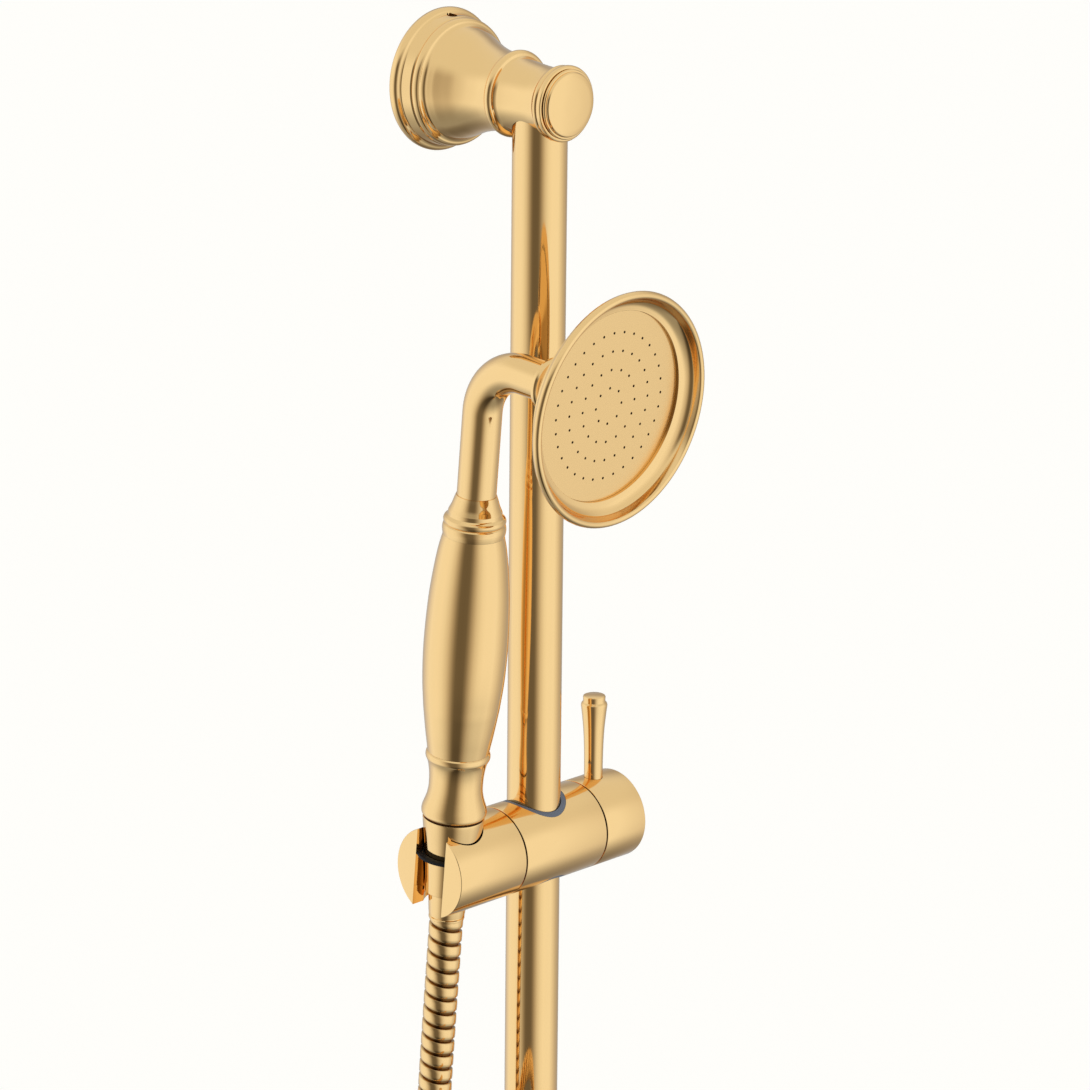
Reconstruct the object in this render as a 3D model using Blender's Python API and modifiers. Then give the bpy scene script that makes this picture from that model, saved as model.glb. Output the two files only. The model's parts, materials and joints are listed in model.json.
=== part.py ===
"""Hand shower on a slide rail: two wall brackets, a rail, a clamping slider with a tilting
holder, a traditional handset with a round spray head, and a metal hose.

The frame is in metres with +Z up. The wall is the plane Y = 0, the room lies towards -Y, and
the origin is the middle of the upper bracket's wall face.

Names of pieces on the handset are measured along its axis, upwards from the slider's axis.
"""

import math

import bmesh
import bpy
from mathutils import Matrix, Vector

MM = 0.001
GAP = 0.3 * MM  # play between two pieces that touch
OVERRUN = 1.0 * MM  # how far a cutter runs past the face that it opens

FINE = 24  # sides of a large turned piece
PLAIN = 20  # sides of a medium turned piece
SMALL = 12  # sides of a screw, pin or washer

# Rail
BRACKET_SPACING = 700 * MM
RAIL_RADIUS = 11 * MM
RAIL_WALL = 1.5 * MM
RAIL_STANDOFF = 56 * MM  # wall to rail axis
RAIL_PAST_AXIS = 5 * MM  # how far the rail runs past a bracket's axis
INSERT_LENGTH = 24 * MM
BOLT_RADIUS = 2.4 * MM
BOLT_HEAD_RADIUS = 4.4 * MM
BOLT_HEAD_LENGTH = 4.4 * MM
BOLT_DEPTH = 7 * MM  # how far the bolt runs into the rail's insert

# Wall brackets, measured from the wall outwards
FLANGE_RADIUS = 29 * MM
FLANGE_WALL = 2.7 * MM
FLANGE_STEP = 4.7 * MM  # end of the rim, start of the cylindrical step
BEAD_LENGTH = 4.4 * MM  # post's bead, between the flange and the rail
NECK_WALL = 2.3 * MM  # metal round the rail in the post
POST_FRONT_WALL = 3.5 * MM
POST_SHANK_RADIUS = 8 * MM
POST_SHANK_LENGTH = 17 * MM
POST_NUT_LENGTH = 5.5 * MM
PLATE_THICKNESS = 9.6 * MM
PLATE_INSET = 7 * MM  # flange rim to wall plate, radially
GRUB_HEIGHT = 6.3 * MM  # wall to the grub screw's axis
GRUB_RADIUS = 2 * MM
WALL_SCREW_RADIUS = 2.3 * MM
WALL_SCREW_HEAD_RADIUS = 4.4 * MM
WALL_SCREW_SINK = 1.4 * MM  # plate's face down to the countersink
WALL_SCREW_LENGTH = 26 * MM
WALL_SCREW_SPREAD = 17 * MM  # between the two screws' axes
CAP_STEP = 1.0 * MM
CAP_DISC = 1.5 * MM

# Slider
SLIDER_HEIGHT = -309 * MM  # slider axis below the upper bracket's axis, at rest
BARREL_RADIUS = 18.6 * MM
SLEEVE_WALL = 0.7 * MM
SLEEVE_HALF_HEIGHT = 11 * MM
LINER_WALL = 0.9 * MM
BODY_LEFT_WALL = 8.3 * MM
BODY_RIGHT_WALL = 10.9 * MM
JOINT_LINE = 0.6 * MM  # visible line between the three parts of the barrel
HUB_RADIUS = 9 * MM
HUB_LENGTH = 3 * MM
FRICTION_WASHER = 1.0 * MM
PIVOT_RADIUS = 2.3 * MM
PIVOT_HEAD_RADIUS = 4.4 * MM
PIVOT_HEAD_LENGTH = 3 * MM
PIVOT_DEPTH = 6.5 * MM
SPRING_WASHER = 1.0 * MM
KNOB_LENGTH = 22.7 * MM
SPINDLE_RADIUS = 3.6 * MM
BRAKE_RADIUS = 4.7 * MM
BRAKE_LENGTH = 4 * MM
CAM_LIFT = 1.3 * MM  # room behind the brake pad for the cam's travel
LEVER_OFFSET = 10.1 * MM  # knob's inner face to the lever's axis
LEVER_LENGTH = 35.5 * MM
LEVER_BASE_RADIUS = 3.8 * MM
LEVER_TOP_RADIUS = 5.4 * MM
LEVER_SHANK_RADIUS = 2 * MM

# Holder
HOLDER_BACK_WALL = 12.9 * MM  # holder's inner face to the seat
HOLDER_LIP = 11.7 * MM  # seat's axis to the holder's open face
SLOT_WIDTH = 16.6 * MM

# Handset, along its own axis
HANDSET_TILT = math.radians(5)
HANDSET_TURN = math.radians(1.2)  # head away from straight ahead, in the nut
NUT_BOTTOM = -10.3 * MM
NUT_TOP = 22.5 * MM
NUT_TOP_RADIUS = 12.5 * MM
NUT_BOTTOM_RADIUS = 9.5 * MM
SEAT_RING_HEIGHT = 6 * MM
SEAT_RING_WIDTH = 2.5 * MM
SEAT_RING_THICKNESS = 1.1 * MM
THREAD_RADIUS = 10 * MM
THREAD_LENGTH = 8 * MM
THREAD_GROOVE = 1.1 * MM  # open line between the nut and the lower collar
FLANGE_SEAL = 2 * MM
STEM_RADIUS = 6.5 * MM
STEM_NECK_RADIUS = 4.6 * MM
STEM_BORE = 3.5 * MM
LOWER_COLLAR_LENGTH = 27.4 * MM
COLLAR_RADIUS = 13 * MM
WAIST_RADIUS = 11 * MM
WATERWAY = 6.5 * MM
HANDLE_LENGTH = 92 * MM
HANDLE_RADIUS = 16.9 * MM
HANDLE_END_RADIUS = 12.6 * MM
HANDLE_WALL = 2.6 * MM
SPIGOT_RADIUS = 9.2 * MM
SPIGOT_LENGTH = 6 * MM
CORE_RADIUS = 5 * MM
CORE_WALL = 1 * MM
UPPER_COLLAR_LENGTH = 16.5 * MM
NECK_RADIUS = 7.9 * MM
NECK_TUBE_WALL = 1.5 * MM
NECK_LENGTH = 51.3 * MM  # handle's upper end to the start of the bend, with the collar
NECK_IN_COLLAR = 11 * MM
BEND_RADIUS = 21 * MM
BEND_ANGLE = math.radians(90)
ARM_LENGTH = 12.8 * MM
NECK_IN_HEAD = 6 * MM

# Spray head, along its own axis, with 0 at the rim and the room at +
HEAD_RADIUS = 46.9 * MM
HEAD_DEPTH = 39.4 * MM
BOSS_RADIUS = 10.5 * MM
PLATE_INSET_DEPTH = 7.6 * MM
SPRAY_PLATE_RADIUS = 37.9 * MM
SPRAY_PLATE_THICKNESS = 2 * MM
PLATE_SEAL = 1.5 * MM
BELL_WALL = 2.4 * MM

# Hose
HOSE_RADIUS = 7 * MM
HOSE_SLEEVE_RADIUS = 7.8 * MM
HOSE_SLEEVE_LENGTH = 11.7 * MM
HANK_BEND = 42 * MM  # middle of the hose to the middle of its bends
HANK_RUN = 262 * MM
HANK_END = 178 * MM  # how far up its last run the hose ends
TIE_HEIGHT = 100 * MM  # tie above the lower bends
TIE_WIDTH = 12 * MM
TIE_THICKNESS = 1.5 * MM
END_SLEEVE_LENGTH = 14 * MM
END_NUT_RADIUS = 13.9 * MM
END_NUT_LENGTH = 15 * MM

# The hose's visible stretch, from the point where it leaves its sleeve down to the hank.
HOSE_ROUTE = [
    (0, 0, 0),
    (0, 0.0026, -0.030),
    (0, 0.0051, -0.060),
    (0, 0.0066, -0.080),
    (0, 0.0077, -0.100),
    (0, 0.0082, -0.120),
    (0, 0.0083, -0.139),
]

# Worked out from the sizes above
liner_radius = RAIL_RADIUS + 2 * GAP + SLEEVE_WALL + LINER_WALL
body_bore = liner_radius + GAP
body_left = body_bore + BODY_LEFT_WALL
body_right = body_bore + BODY_RIGHT_WALL
seat_offset = body_left + JOINT_LINE + HOLDER_BACK_WALL + NUT_TOP_RADIUS
neck_radius = RAIL_RADIUS + NECK_WALL
flange_length = RAIL_STANDOFF - RAIL_RADIUS - BEAD_LENGTH
post_front = RAIL_STANDOFF + RAIL_RADIUS + GAP + POST_FRONT_WALL
bead_radius = neck_radius + 4.1 * MM
bell_end_radius = bead_radius - 1.4 * MM
cavity_end_radius = bell_end_radius - FLANGE_WALL
plate_radius = FLANGE_RADIUS - PLATE_INSET
collar_bottom = NUT_TOP + THREAD_GROOVE
collar_top = collar_bottom + LOWER_COLLAR_LENGTH
handle_bottom = collar_top + GAP
handle_top = handle_bottom + HANDLE_LENGTH
bend_start = handle_top + NECK_LENGTH
bend_corner = bend_start + BEND_RADIUS * math.tan(BEND_ANGLE / 2)
head_reach = bend_corner - bend_start + ARM_LENGTH + HEAD_DEPTH
hose_exit_height = NUT_BOTTOM - GAP - HOSE_SLEEVE_LENGTH - GAP


# ---------------------------------------------------------------- tools


def clear_scene():
    for thing in list(bpy.data.objects):
        bpy.data.objects.remove(thing, do_unlink=True)
    for mesh in list(bpy.data.meshes):
        bpy.data.meshes.remove(mesh)


def new_collection(name, hidden=False):
    collection = bpy.data.collections.new(name)
    bpy.context.scene.collection.children.link(collection)
    collection.hide_render = hidden
    return collection


def new_material(name, colour, roughness, metallic):
    material = bpy.data.materials.new(name)
    material.use_nodes = True
    shader = material.node_tree.nodes["Principled BSDF"]
    shader.inputs["Base Color"].default_value = (*colour, 1)
    shader.inputs["Roughness"].default_value = roughness
    shader.inputs["Metallic"].default_value = metallic
    material.diffuse_color = (*colour, 1)
    return material


FINISHES = {
    "gold": ((0.80, 0.56, 0.27), 0.30, 1.0),
    "brass": ((0.72, 0.55, 0.28), 0.35, 1.0),
    "steel": ((0.55, 0.56, 0.58), 0.35, 1.0),
    "grey plastic": ((0.16, 0.17, 0.19), 0.5, 0.0),
    "white plastic": ((0.80, 0.80, 0.78), 0.5, 0.0),
    "rubber": ((0.02, 0.02, 0.02), 0.7, 0.0),
    "strap": ((0.03, 0.03, 0.035), 0.8, 0.0),
}


def as_piece(thing, name, finish):
    """Puts an object among the parts under its name, with its own material."""
    thing.name = name
    thing.data.name = name
    colour, roughness, metallic = FINISHES[finish]
    thing.data.materials.clear()
    thing.data.materials.append(new_material(name, colour, roughness, metallic))
    for holder in list(thing.users_collection):
        holder.objects.unlink(thing)
    parts.objects.link(thing)
    return thing


def as_cutter(thing):
    """Puts an object among the cutters, out of the render."""
    thing.name = "cutter_" + thing.name
    thing.hide_render = True
    thing.display_type = "WIRE"
    for holder in list(thing.users_collection):
        holder.objects.unlink(thing)
    cutters.objects.link(thing)
    return thing


def axis_empty(name, location, rotation=(0, 0, 0), parent=None):
    """An empty on a joint's or an assembly's axis. Its pieces are modelled round its Z."""
    empty = bpy.data.objects.new(name, None)
    empty.location = location
    empty.rotation_euler = rotation
    empty.parent = parent
    empty.empty_display_size = 0.02
    parts.objects.link(empty)
    return empty


def turned(name, profile, parent=None, steps=PLAIN, location=(0, 0, 0), rotation=(0, 0, 0)):
    """A turned solid. The profile's (radius, height) points run down the outer side, and on
    up the bore if there is one."""
    mesh = bpy.data.meshes.new(name)
    points = [(radius, 0, height) for radius, height in profile]
    edges = [(i, i + 1) for i in range(len(points) - 1)]
    if profile[0][0] > 0:
        edges.append((len(points) - 1, 0))
    mesh.from_pydata(points, edges, [])
    thing = bpy.data.objects.new(name, mesh)
    bpy.context.scene.collection.objects.link(thing)
    screw = thing.modifiers.new("turn", "SCREW")
    screw.axis = "Z"
    screw.angle = 2 * math.pi
    screw.steps = steps
    screw.render_steps = steps
    screw.use_merge_vertices = True
    screw.merge_threshold = 0.00001
    screw.use_smooth_shade = True
    thing.location = location
    thing.rotation_euler = rotation
    thing.parent = parent
    return thing


def rod(name, radius, low, high, parent=None, steps=PLAIN, location=(0, 0, 0), rotation=(0, 0, 0)):
    """A plain cylinder round its own Z, from low to high."""
    profile = [(0, high), (radius, high), (radius, low), (0, low)]
    return turned(name, profile, parent, steps, location, rotation)


def tube(name, outer, inner, low, high, parent=None, steps=PLAIN, location=(0, 0, 0), rotation=(0, 0, 0)):
    """A plain tube round its own Z, from low to high."""
    profile = [(outer, high), (outer, low), (inner, low), (inner, high)]
    return turned(name, profile, parent, steps, location, rotation)


def box(name, low, high, parent=None, rotation=(0, 0, 0), location=(0, 0, 0)):
    """A box between two corners, in its parent's frame."""
    low, high = Vector(low), Vector(high)
    mesh = bpy.data.meshes.new(name)
    shape = bmesh.new()
    bmesh.ops.create_cube(shape, size=1)
    size = Matrix.Diagonal((*(high - low), 1))
    bmesh.ops.transform(shape, matrix=Matrix.Translation((low + high) / 2) @ size, verts=shape.verts)
    shape.to_mesh(mesh)
    shape.free()
    thing = bpy.data.objects.new(name, mesh)
    bpy.context.scene.collection.objects.link(thing)
    thing.location = location
    thing.rotation_euler = rotation
    thing.parent = parent
    return thing


def combine(thing, other, operation="DIFFERENCE"):
    """Cuts other out of thing, or keeps or joins them. other becomes a cutter."""
    if other.name not in cutters.objects:
        as_cutter(other)
    boolean = thing.modifiers.new(operation.lower(), "BOOLEAN")
    boolean.operation = operation
    boolean.object = other
    boolean.solver = "EXACT"
    return thing


def swept(name, points, radius, resolution=2):
    """A round bar along a line of points, made a mesh with welded caps."""
    curve = bpy.data.curves.new(name, "CURVE")
    curve.dimensions = "3D"
    curve.bevel_depth = radius
    curve.bevel_resolution = resolution
    curve.use_fill_caps = True
    spline = curve.splines.new("POLY")
    spline.points.add(len(points) - 1)
    for point, place in zip(spline.points, points):
        point.co = (*place, 1)
    guide = bpy.data.objects.new(name, curve)
    bpy.context.scene.collection.objects.link(guide)
    bpy.context.view_layer.update()
    graph = bpy.context.evaluated_depsgraph_get()
    mesh = bpy.data.meshes.new_from_object(guide.evaluated_get(graph))
    shape = bmesh.new()
    shape.from_mesh(mesh)
    bmesh.ops.remove_doubles(shape, verts=shape.verts, dist=0.00001)
    shape.to_mesh(mesh)
    shape.free()
    bpy.data.objects.remove(guide)
    thing = bpy.data.objects.new(name, mesh)
    bpy.context.scene.collection.objects.link(thing)
    return thing


def arc(radius, start, end, steps):
    """Points (across, up) on an arc round the origin, from one angle to another."""
    angles = [start + (end - start) * i / steps for i in range(steps + 1)]
    return [(radius * math.cos(a), radius * math.sin(a)) for a in angles]


def bulge(low, high, low_radius, high_radius, middle_radius, steps):
    """Profile points from high to low, swelling to middle_radius part of the way along."""
    points = []
    for i in range(steps + 1):
        share = i / steps
        straight = high_radius + (low_radius - high_radius) * share
        lift = middle_radius - (low_radius + high_radius) / 2
        swell = math.sin(math.pi * share ** 0.97)
        points.append((straight + lift * swell, high + (low - high) * share))
    return points


def smooth_line(points, spacing):
    """Points about spacing apart on a smooth curve through the points."""
    knots = [Vector(p) for p in points]
    knots = [2 * knots[0] - knots[1], *knots, 2 * knots[-1] - knots[-2]]
    line = []
    for before, start, end, after in zip(knots, knots[1:], knots[2:], knots[3:]):
        count = max(1, round((end - start).length / spacing))
        for i in range(count):
            t = i / count
            bend = 2 * before - 5 * start + 4 * end - after
            twist = 3 * start - before - 3 * end + after
            line.append(start + 0.5 * t * (end - before + t * (bend + t * twist)))
    return [*line, knots[-2]]


# ---------------------------------------------------------------- brackets and rail


def bell_radius(height):
    """Outer radius of the flange's bell at a height between its ring and its front."""
    start_height = FLANGE_STEP + 8.3 * MM
    share = (height - start_height) / (flange_length - start_height)
    start_radius = FLANGE_RADIUS - 6.9 * MM
    return bell_end_radius + (start_radius - bell_end_radius) * (1 - share) ** 1.75


def flange_profile():
    """Rim, step, ring and bell, with the cavity behind them."""
    rim = [
        (FLANGE_RADIUS - 1.6 * MM, 3.2 * MM),
        (FLANGE_RADIUS - 0.3 * MM, 2.2 * MM),
        (FLANGE_RADIUS, 1.2 * MM),
        (FLANGE_RADIUS - 0.3 * MM, 0),
    ]
    step = [
        (FLANGE_RADIUS - 3.4 * MM, FLANGE_STEP + 5 * MM),
        (FLANGE_RADIUS - 2.6 * MM, FLANGE_STEP + 4.4 * MM),
        (FLANGE_RADIUS - 2.4 * MM, FLANGE_STEP),
    ]
    ring = [
        (FLANGE_RADIUS - 6.9 * MM, FLANGE_STEP + 8.3 * MM),
        (FLANGE_RADIUS - 4.6 * MM, FLANGE_STEP + 7.2 * MM),
        (FLANGE_RADIUS - 3.5 * MM, FLANGE_STEP + 6 * MM),
    ]
    bell_low = FLANGE_STEP + 8.3 * MM
    shares = [1, 0.72, 0.5, 0.3, 0.14]
    bell = [bell_low + (flange_length - bell_low) * s for s in shares]
    outer = [(bell_radius(h), h) for h in bell]
    cavity_low = PLATE_THICKNESS + 2 * MM
    inside = [bell_low + (flange_length - bell_low) * s for s in (0.2, 0.5, 0.72)]
    inner = [(bell_radius(h) - FLANGE_WALL, h) for h in inside]
    front = flange_length - 2.2 * MM
    bore = POST_SHANK_RADIUS + GAP
    cavity = [
        (plate_radius + 2 * GAP, 0),
        (plate_radius + 2 * GAP, cavity_low),
        *inner,
        (cavity_end_radius, front),
        (bore, front),
        (bore, flange_length),
    ]
    return [*outer, *ring, *step, *rim, *cavity]


def post_profile():
    """Threaded shank, bead, tapered neck and collar ring, with the bolt's bore inside."""
    back = flange_length - POST_SHANK_LENGTH
    bead = flange_length + GAP
    collar = post_front - 4.6 * MM
    recess_radius = 9 * MM
    recess = post_front - 2.2 * MM
    bolt_bore = BOLT_RADIUS + 2 * GAP
    head_bore = BOLT_HEAD_RADIUS + GAP
    seat = flange_length - 9 * MM
    middle = RAIL_STANDOFF
    return [
        (0, recess),
        (recess_radius, recess),
        (recess_radius, post_front),
        (neck_radius + 1.3 * MM, post_front),
        (neck_radius + 1.9 * MM, post_front - 1.2 * MM),
        (neck_radius + 1.9 * MM, post_front - 2.6 * MM),
        (neck_radius + 0.9 * MM, collar),
        (neck_radius, collar - 0.6 * MM),
        (neck_radius, middle + 2 * MM),
        (neck_radius + 0.6 * MM, middle - 5 * MM),
        (neck_radius + 1.5 * MM, bead + 3.4 * MM),
        (bead_radius - 0.5 * MM, bead + 2.6 * MM),
        (bead_radius, bead + 1.4 * MM),
        (bead_radius - 0.5 * MM, bead + 0.3 * MM),
        (bell_end_radius, bead),
        (POST_SHANK_RADIUS, bead),
        (POST_SHANK_RADIUS, back),
        (head_bore, back),
        (head_bore, seat),
        (bolt_bore, seat),
        (bolt_bore, middle),
        (0, middle),
    ]


def cap_profile():
    """End cap: spigot, stepped ring and slightly domed disc."""
    face = post_front + GAP
    spigot = 8.7 * MM
    ring = neck_radius + 0.7 * MM
    disc = neck_radius - 0.3 * MM
    top = face + CAP_STEP + CAP_DISC
    return [
        (0, top + 0.4 * MM),
        (disc * 0.55, top + 0.2 * MM),
        (disc - 0.7 * MM, top - 0.3 * MM),
        (disc, top - 1 * MM),
        (disc, face + CAP_STEP),
        (ring - 0.4 * MM, face + CAP_STEP),
        (ring, face + CAP_STEP - 0.6 * MM),
        (ring, face),
        (spigot, face),
        (spigot, face - 2 * MM),
        (0, face - 2 * MM),
    ]


def wall_plate(name, axis):
    """Puck that carries the flange, with two countersunk holes and a grub-screw groove."""
    groove = plate_radius - 1 * MM
    profile = [
        (0, PLATE_THICKNESS),
        (plate_radius, PLATE_THICKNESS),
        (plate_radius, GRUB_HEIGHT + GRUB_RADIUS + 2 * GAP),
        (groove, GRUB_HEIGHT + GRUB_RADIUS + GAP),
        (groove, GRUB_HEIGHT - GRUB_RADIUS - GAP),
        (plate_radius, GRUB_HEIGHT - GRUB_RADIUS - 2 * GAP),
        (plate_radius, 0),
        (0, 0),
    ]
    plate = as_piece(turned(name, profile, axis, FINE), name, "steel")
    top = PLATE_THICKNESS
    hole = WALL_SCREW_RADIUS + 2 * GAP
    sink = WALL_SCREW_HEAD_RADIUS + GAP
    sink_profile = [
        (0, top + OVERRUN),
        (sink, top + OVERRUN),
        (sink, top - WALL_SCREW_SINK),
        (hole, top - WALL_SCREW_SINK - (sink - hole)),
        (hole, -OVERRUN),
        (0, -OVERRUN),
    ]
    for side in (-1, 1):
        place = (side * WALL_SCREW_SPREAD / 2, 0, 0)
        combine(plate, turned(name + "_hole", sink_profile, axis, SMALL, place))
    return plate


def wall_screw(name, axis, side):
    """Countersunk screw with a hexagon socket, from the plate into the wall."""
    top = PLATE_THICKNESS - WALL_SCREW_SINK / 2
    head = WALL_SCREW_HEAD_RADIUS
    land = PLATE_THICKNESS - WALL_SCREW_SINK
    profile = [
        (0, top),
        (head, top),
        (head, land),
        (WALL_SCREW_RADIUS, land - (head - WALL_SCREW_RADIUS)),
        (WALL_SCREW_RADIUS, top - WALL_SCREW_LENGTH + 4 * MM),
        (0, top - WALL_SCREW_LENGTH),
    ]
    place = (side * WALL_SCREW_SPREAD / 2, 0, 0)
    screw = as_piece(turned(name, profile, axis, SMALL, place), name, "steel")
    return combine(screw, rod(name + "_socket", 1.9 * MM, top - 2 * MM, top + OVERRUN, axis, 6, place))


def grub_screw(name, axis):
    """Set screw that runs through the flange's step onto the wall plate's groove."""
    low = plate_radius - 1 * MM + GAP
    high = FLANGE_RADIUS - 4.2 * MM
    place = (0, 0, GRUB_HEIGHT)
    turn = (-math.pi / 2, 0, 0)
    screw = rod(name, GRUB_RADIUS, low, high, axis, SMALL, place, turn)
    as_piece(screw, name, "steel")
    socket = rod(name + "_socket", 1.1 * MM, high - 1.6 * MM, high + OVERRUN, axis, 6, place, turn)
    return combine(screw, socket)


def bracket(side, axis):
    """One wall bracket. Its axis is the empty's Z, out of the wall, and its rail leaves it
    towards the empty's -Y."""
    wall_plate(f"{side}_wall_plate", axis)
    wall_screw(f"{side}_wall_screw_left", axis, -1)
    wall_screw(f"{side}_wall_screw_right", axis, 1)

    name = f"{side}_flange"
    flange = as_piece(turned(name, flange_profile(), axis, FINE), name, "gold")
    grub_hole = rod(
        name + "_grub_hole",
        GRUB_RADIUS + GAP,
        plate_radius - 2 * MM,
        FLANGE_RADIUS + OVERRUN,
        axis,
        SMALL,
        (0, 0, GRUB_HEIGHT),
        (-math.pi / 2, 0, 0),
    )
    combine(flange, grub_hole)
    grub_screw(f"{side}_grub_screw", axis)

    name = f"{side}_post"
    post = as_piece(turned(name, post_profile(), axis, FINE), name, "gold")
    socket = rod(
        name + "_rail_socket",
        RAIL_RADIUS + GAP,
        -RAIL_PAST_AXIS - GAP,
        bead_radius + 5 * MM,
        axis,
        FINE,
        (0, 0, RAIL_STANDOFF),
        (math.pi / 2, 0, 0),
    )
    combine(post, socket)

    name = f"{side}_post_nut"
    nut_top = flange_length - 2.2 * MM - GAP
    nut_low = nut_top - POST_NUT_LENGTH
    nut = rod(name, cavity_end_radius - 0.8 * MM, nut_low, nut_top, axis, 6)
    as_piece(nut, name, "brass")
    bore = POST_SHANK_RADIUS + GAP
    combine(nut, rod(name + "_bore", bore, nut_low - OVERRUN, nut_top + OVERRUN, axis, PLAIN))

    name = f"{side}_end_cap"
    as_piece(turned(name, cap_profile(), axis, FINE), name, "gold")

    name = f"{side}_rail_bolt"
    seat = flange_length - 9 * MM - GAP
    tip = RAIL_STANDOFF - RAIL_RADIUS + RAIL_WALL + BOLT_DEPTH
    bolt_profile = [
        (0, tip),
        (BOLT_RADIUS, tip),
        (BOLT_RADIUS, seat),
        (BOLT_HEAD_RADIUS, seat),
        (BOLT_HEAD_RADIUS, seat - BOLT_HEAD_LENGTH),
        (0, seat - BOLT_HEAD_LENGTH),
    ]
    bolt = as_piece(turned(name, bolt_profile, axis, SMALL), name, "steel")
    head = seat - BOLT_HEAD_LENGTH
    combine(bolt, rod(name + "_socket", 2.2 * MM, head - OVERRUN, head + 2.2 * MM, axis, 6))


def bolt_hole(name, height, depth_from_back):
    """Cutter for a rail bolt: from behind the rail to a depth past its back."""
    place = (0, -RAIL_STANDOFF, height)
    radius = BOLT_RADIUS + GAP
    low = RAIL_RADIUS - depth_from_back
    high = RAIL_RADIUS + OVERRUN
    return rod(name, radius, low, high, None, SMALL, place, (-math.pi / 2, 0, 0))


def rail():
    """The tube between the brackets and the threaded insert in each end."""
    place = (0, -RAIL_STANDOFF, 0)
    high = RAIL_PAST_AXIS
    low = -BRACKET_SPACING - RAIL_PAST_AXIS
    bore = RAIL_RADIUS - RAIL_WALL
    pipe = tube("rail_tube", RAIL_RADIUS, bore, low, high, None, FINE, place)
    as_piece(pipe, "rail_tube", "gold")
    insert_radius = bore - GAP
    ends = {
        "rail_upper_insert": (high - INSERT_LENGTH, high - GAP, 0),
        "rail_lower_insert": (low + GAP, low + INSERT_LENGTH, -BRACKET_SPACING),
    }
    for name, (bottom, top, height) in ends.items():
        combine(pipe, bolt_hole(name + "_wall_hole", height, RAIL_WALL + OVERRUN))
        insert = rod(name, insert_radius, bottom, top, None, PLAIN, place)
        as_piece(insert, name, "brass")
        combine(insert, bolt_hole(name + "_thread", height, RAIL_WALL + BOLT_DEPTH + 2 * MM))


# ---------------------------------------------------------------- slider

ACROSS = (0, math.pi / 2, 0)  # turns a piece's own Z to +X


def barrel_piece(name, start, end, axis):
    """A length of the slider's barrel along X, with fine rounded edges."""
    edge = 0.5 * MM
    profile = [
        (0, end),
        (BARREL_RADIUS - edge, end),
        (BARREL_RADIUS, end - edge),
        (BARREL_RADIUS, start + edge),
        (BARREL_RADIUS - edge, start),
        (0, start),
    ]
    return as_piece(turned(name, profile, axis, FINE, rotation=ACROSS), name, "gold")


def slider_middle(axis):
    """Glide sleeve, liner and middle body, all round the rail."""
    sleeve_inner = RAIL_RADIUS + GAP
    sleeve_outer = sleeve_inner + SLEEVE_WALL
    half = SLEEVE_HALF_HEIGHT
    sleeve = tube("glide_sleeve", sleeve_outer, sleeve_inner, -half, half, axis, FINE)
    as_piece(sleeve, "glide_sleeve", "white plastic")

    # The liner's ends follow the barrel, and its recess holds the sleeve.
    recess = sleeve_outer + GAP
    edge = half + GAP
    far = BARREL_RADIUS + OVERRUN
    liner_profile = [
        (liner_radius, far),
        (liner_radius, -far),
        (sleeve_inner, -far),
        (sleeve_inner, -edge),
        (recess, -edge),
        (recess, edge),
        (sleeve_inner, edge),
        (sleeve_inner, far),
    ]
    liner = turned("body_liner", liner_profile, axis, FINE)
    as_piece(liner, "body_liner", "grey plastic")
    shape = rod("liner_end_shape", BARREL_RADIUS - GAP, -far * 2, far * 2, axis, FINE * 2, rotation=ACROSS)
    combine(liner, shape, "INTERSECT")
    window = rod("liner_window", BRAKE_RADIUS + GAP, 0, far, axis, PLAIN, rotation=ACROSS)
    combine(liner, window)

    body = barrel_piece("slider_body", -body_left, body_right, axis)
    combine(body, rod("body_bore", body_bore, -far, far, axis, FINE))
    hub = rod("body_hub", HUB_RADIUS, -body_left - HUB_LENGTH, -body_left + 2 * MM, axis, PLAIN, rotation=ACROSS)
    combine(body, hub, "UNION")
    brake_room = rod("brake_bore", BRAKE_RADIUS + GAP, 0, brake_back + CAM_LIFT, axis, PLAIN, rotation=ACROSS)
    combine(body, brake_room)
    spindle_bore = rod("spindle_bore", SPINDLE_RADIUS + GAP, 0, body_right + OVERRUN, axis, PLAIN, rotation=ACROSS)
    combine(body, spindle_bore)
    start = -body_left - HUB_LENGTH
    thread = rod(
        "pivot_thread",
        PIVOT_RADIUS + GAP,
        start - OVERRUN,
        start + PIVOT_DEPTH + 1 * MM,
        axis,
        SMALL,
        rotation=ACROSS,
    )
    combine(body, thread)


brake_front = RAIL_RADIUS + GAP + SLEEVE_WALL + GAP
brake_back = brake_front + BRAKE_LENGTH


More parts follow.
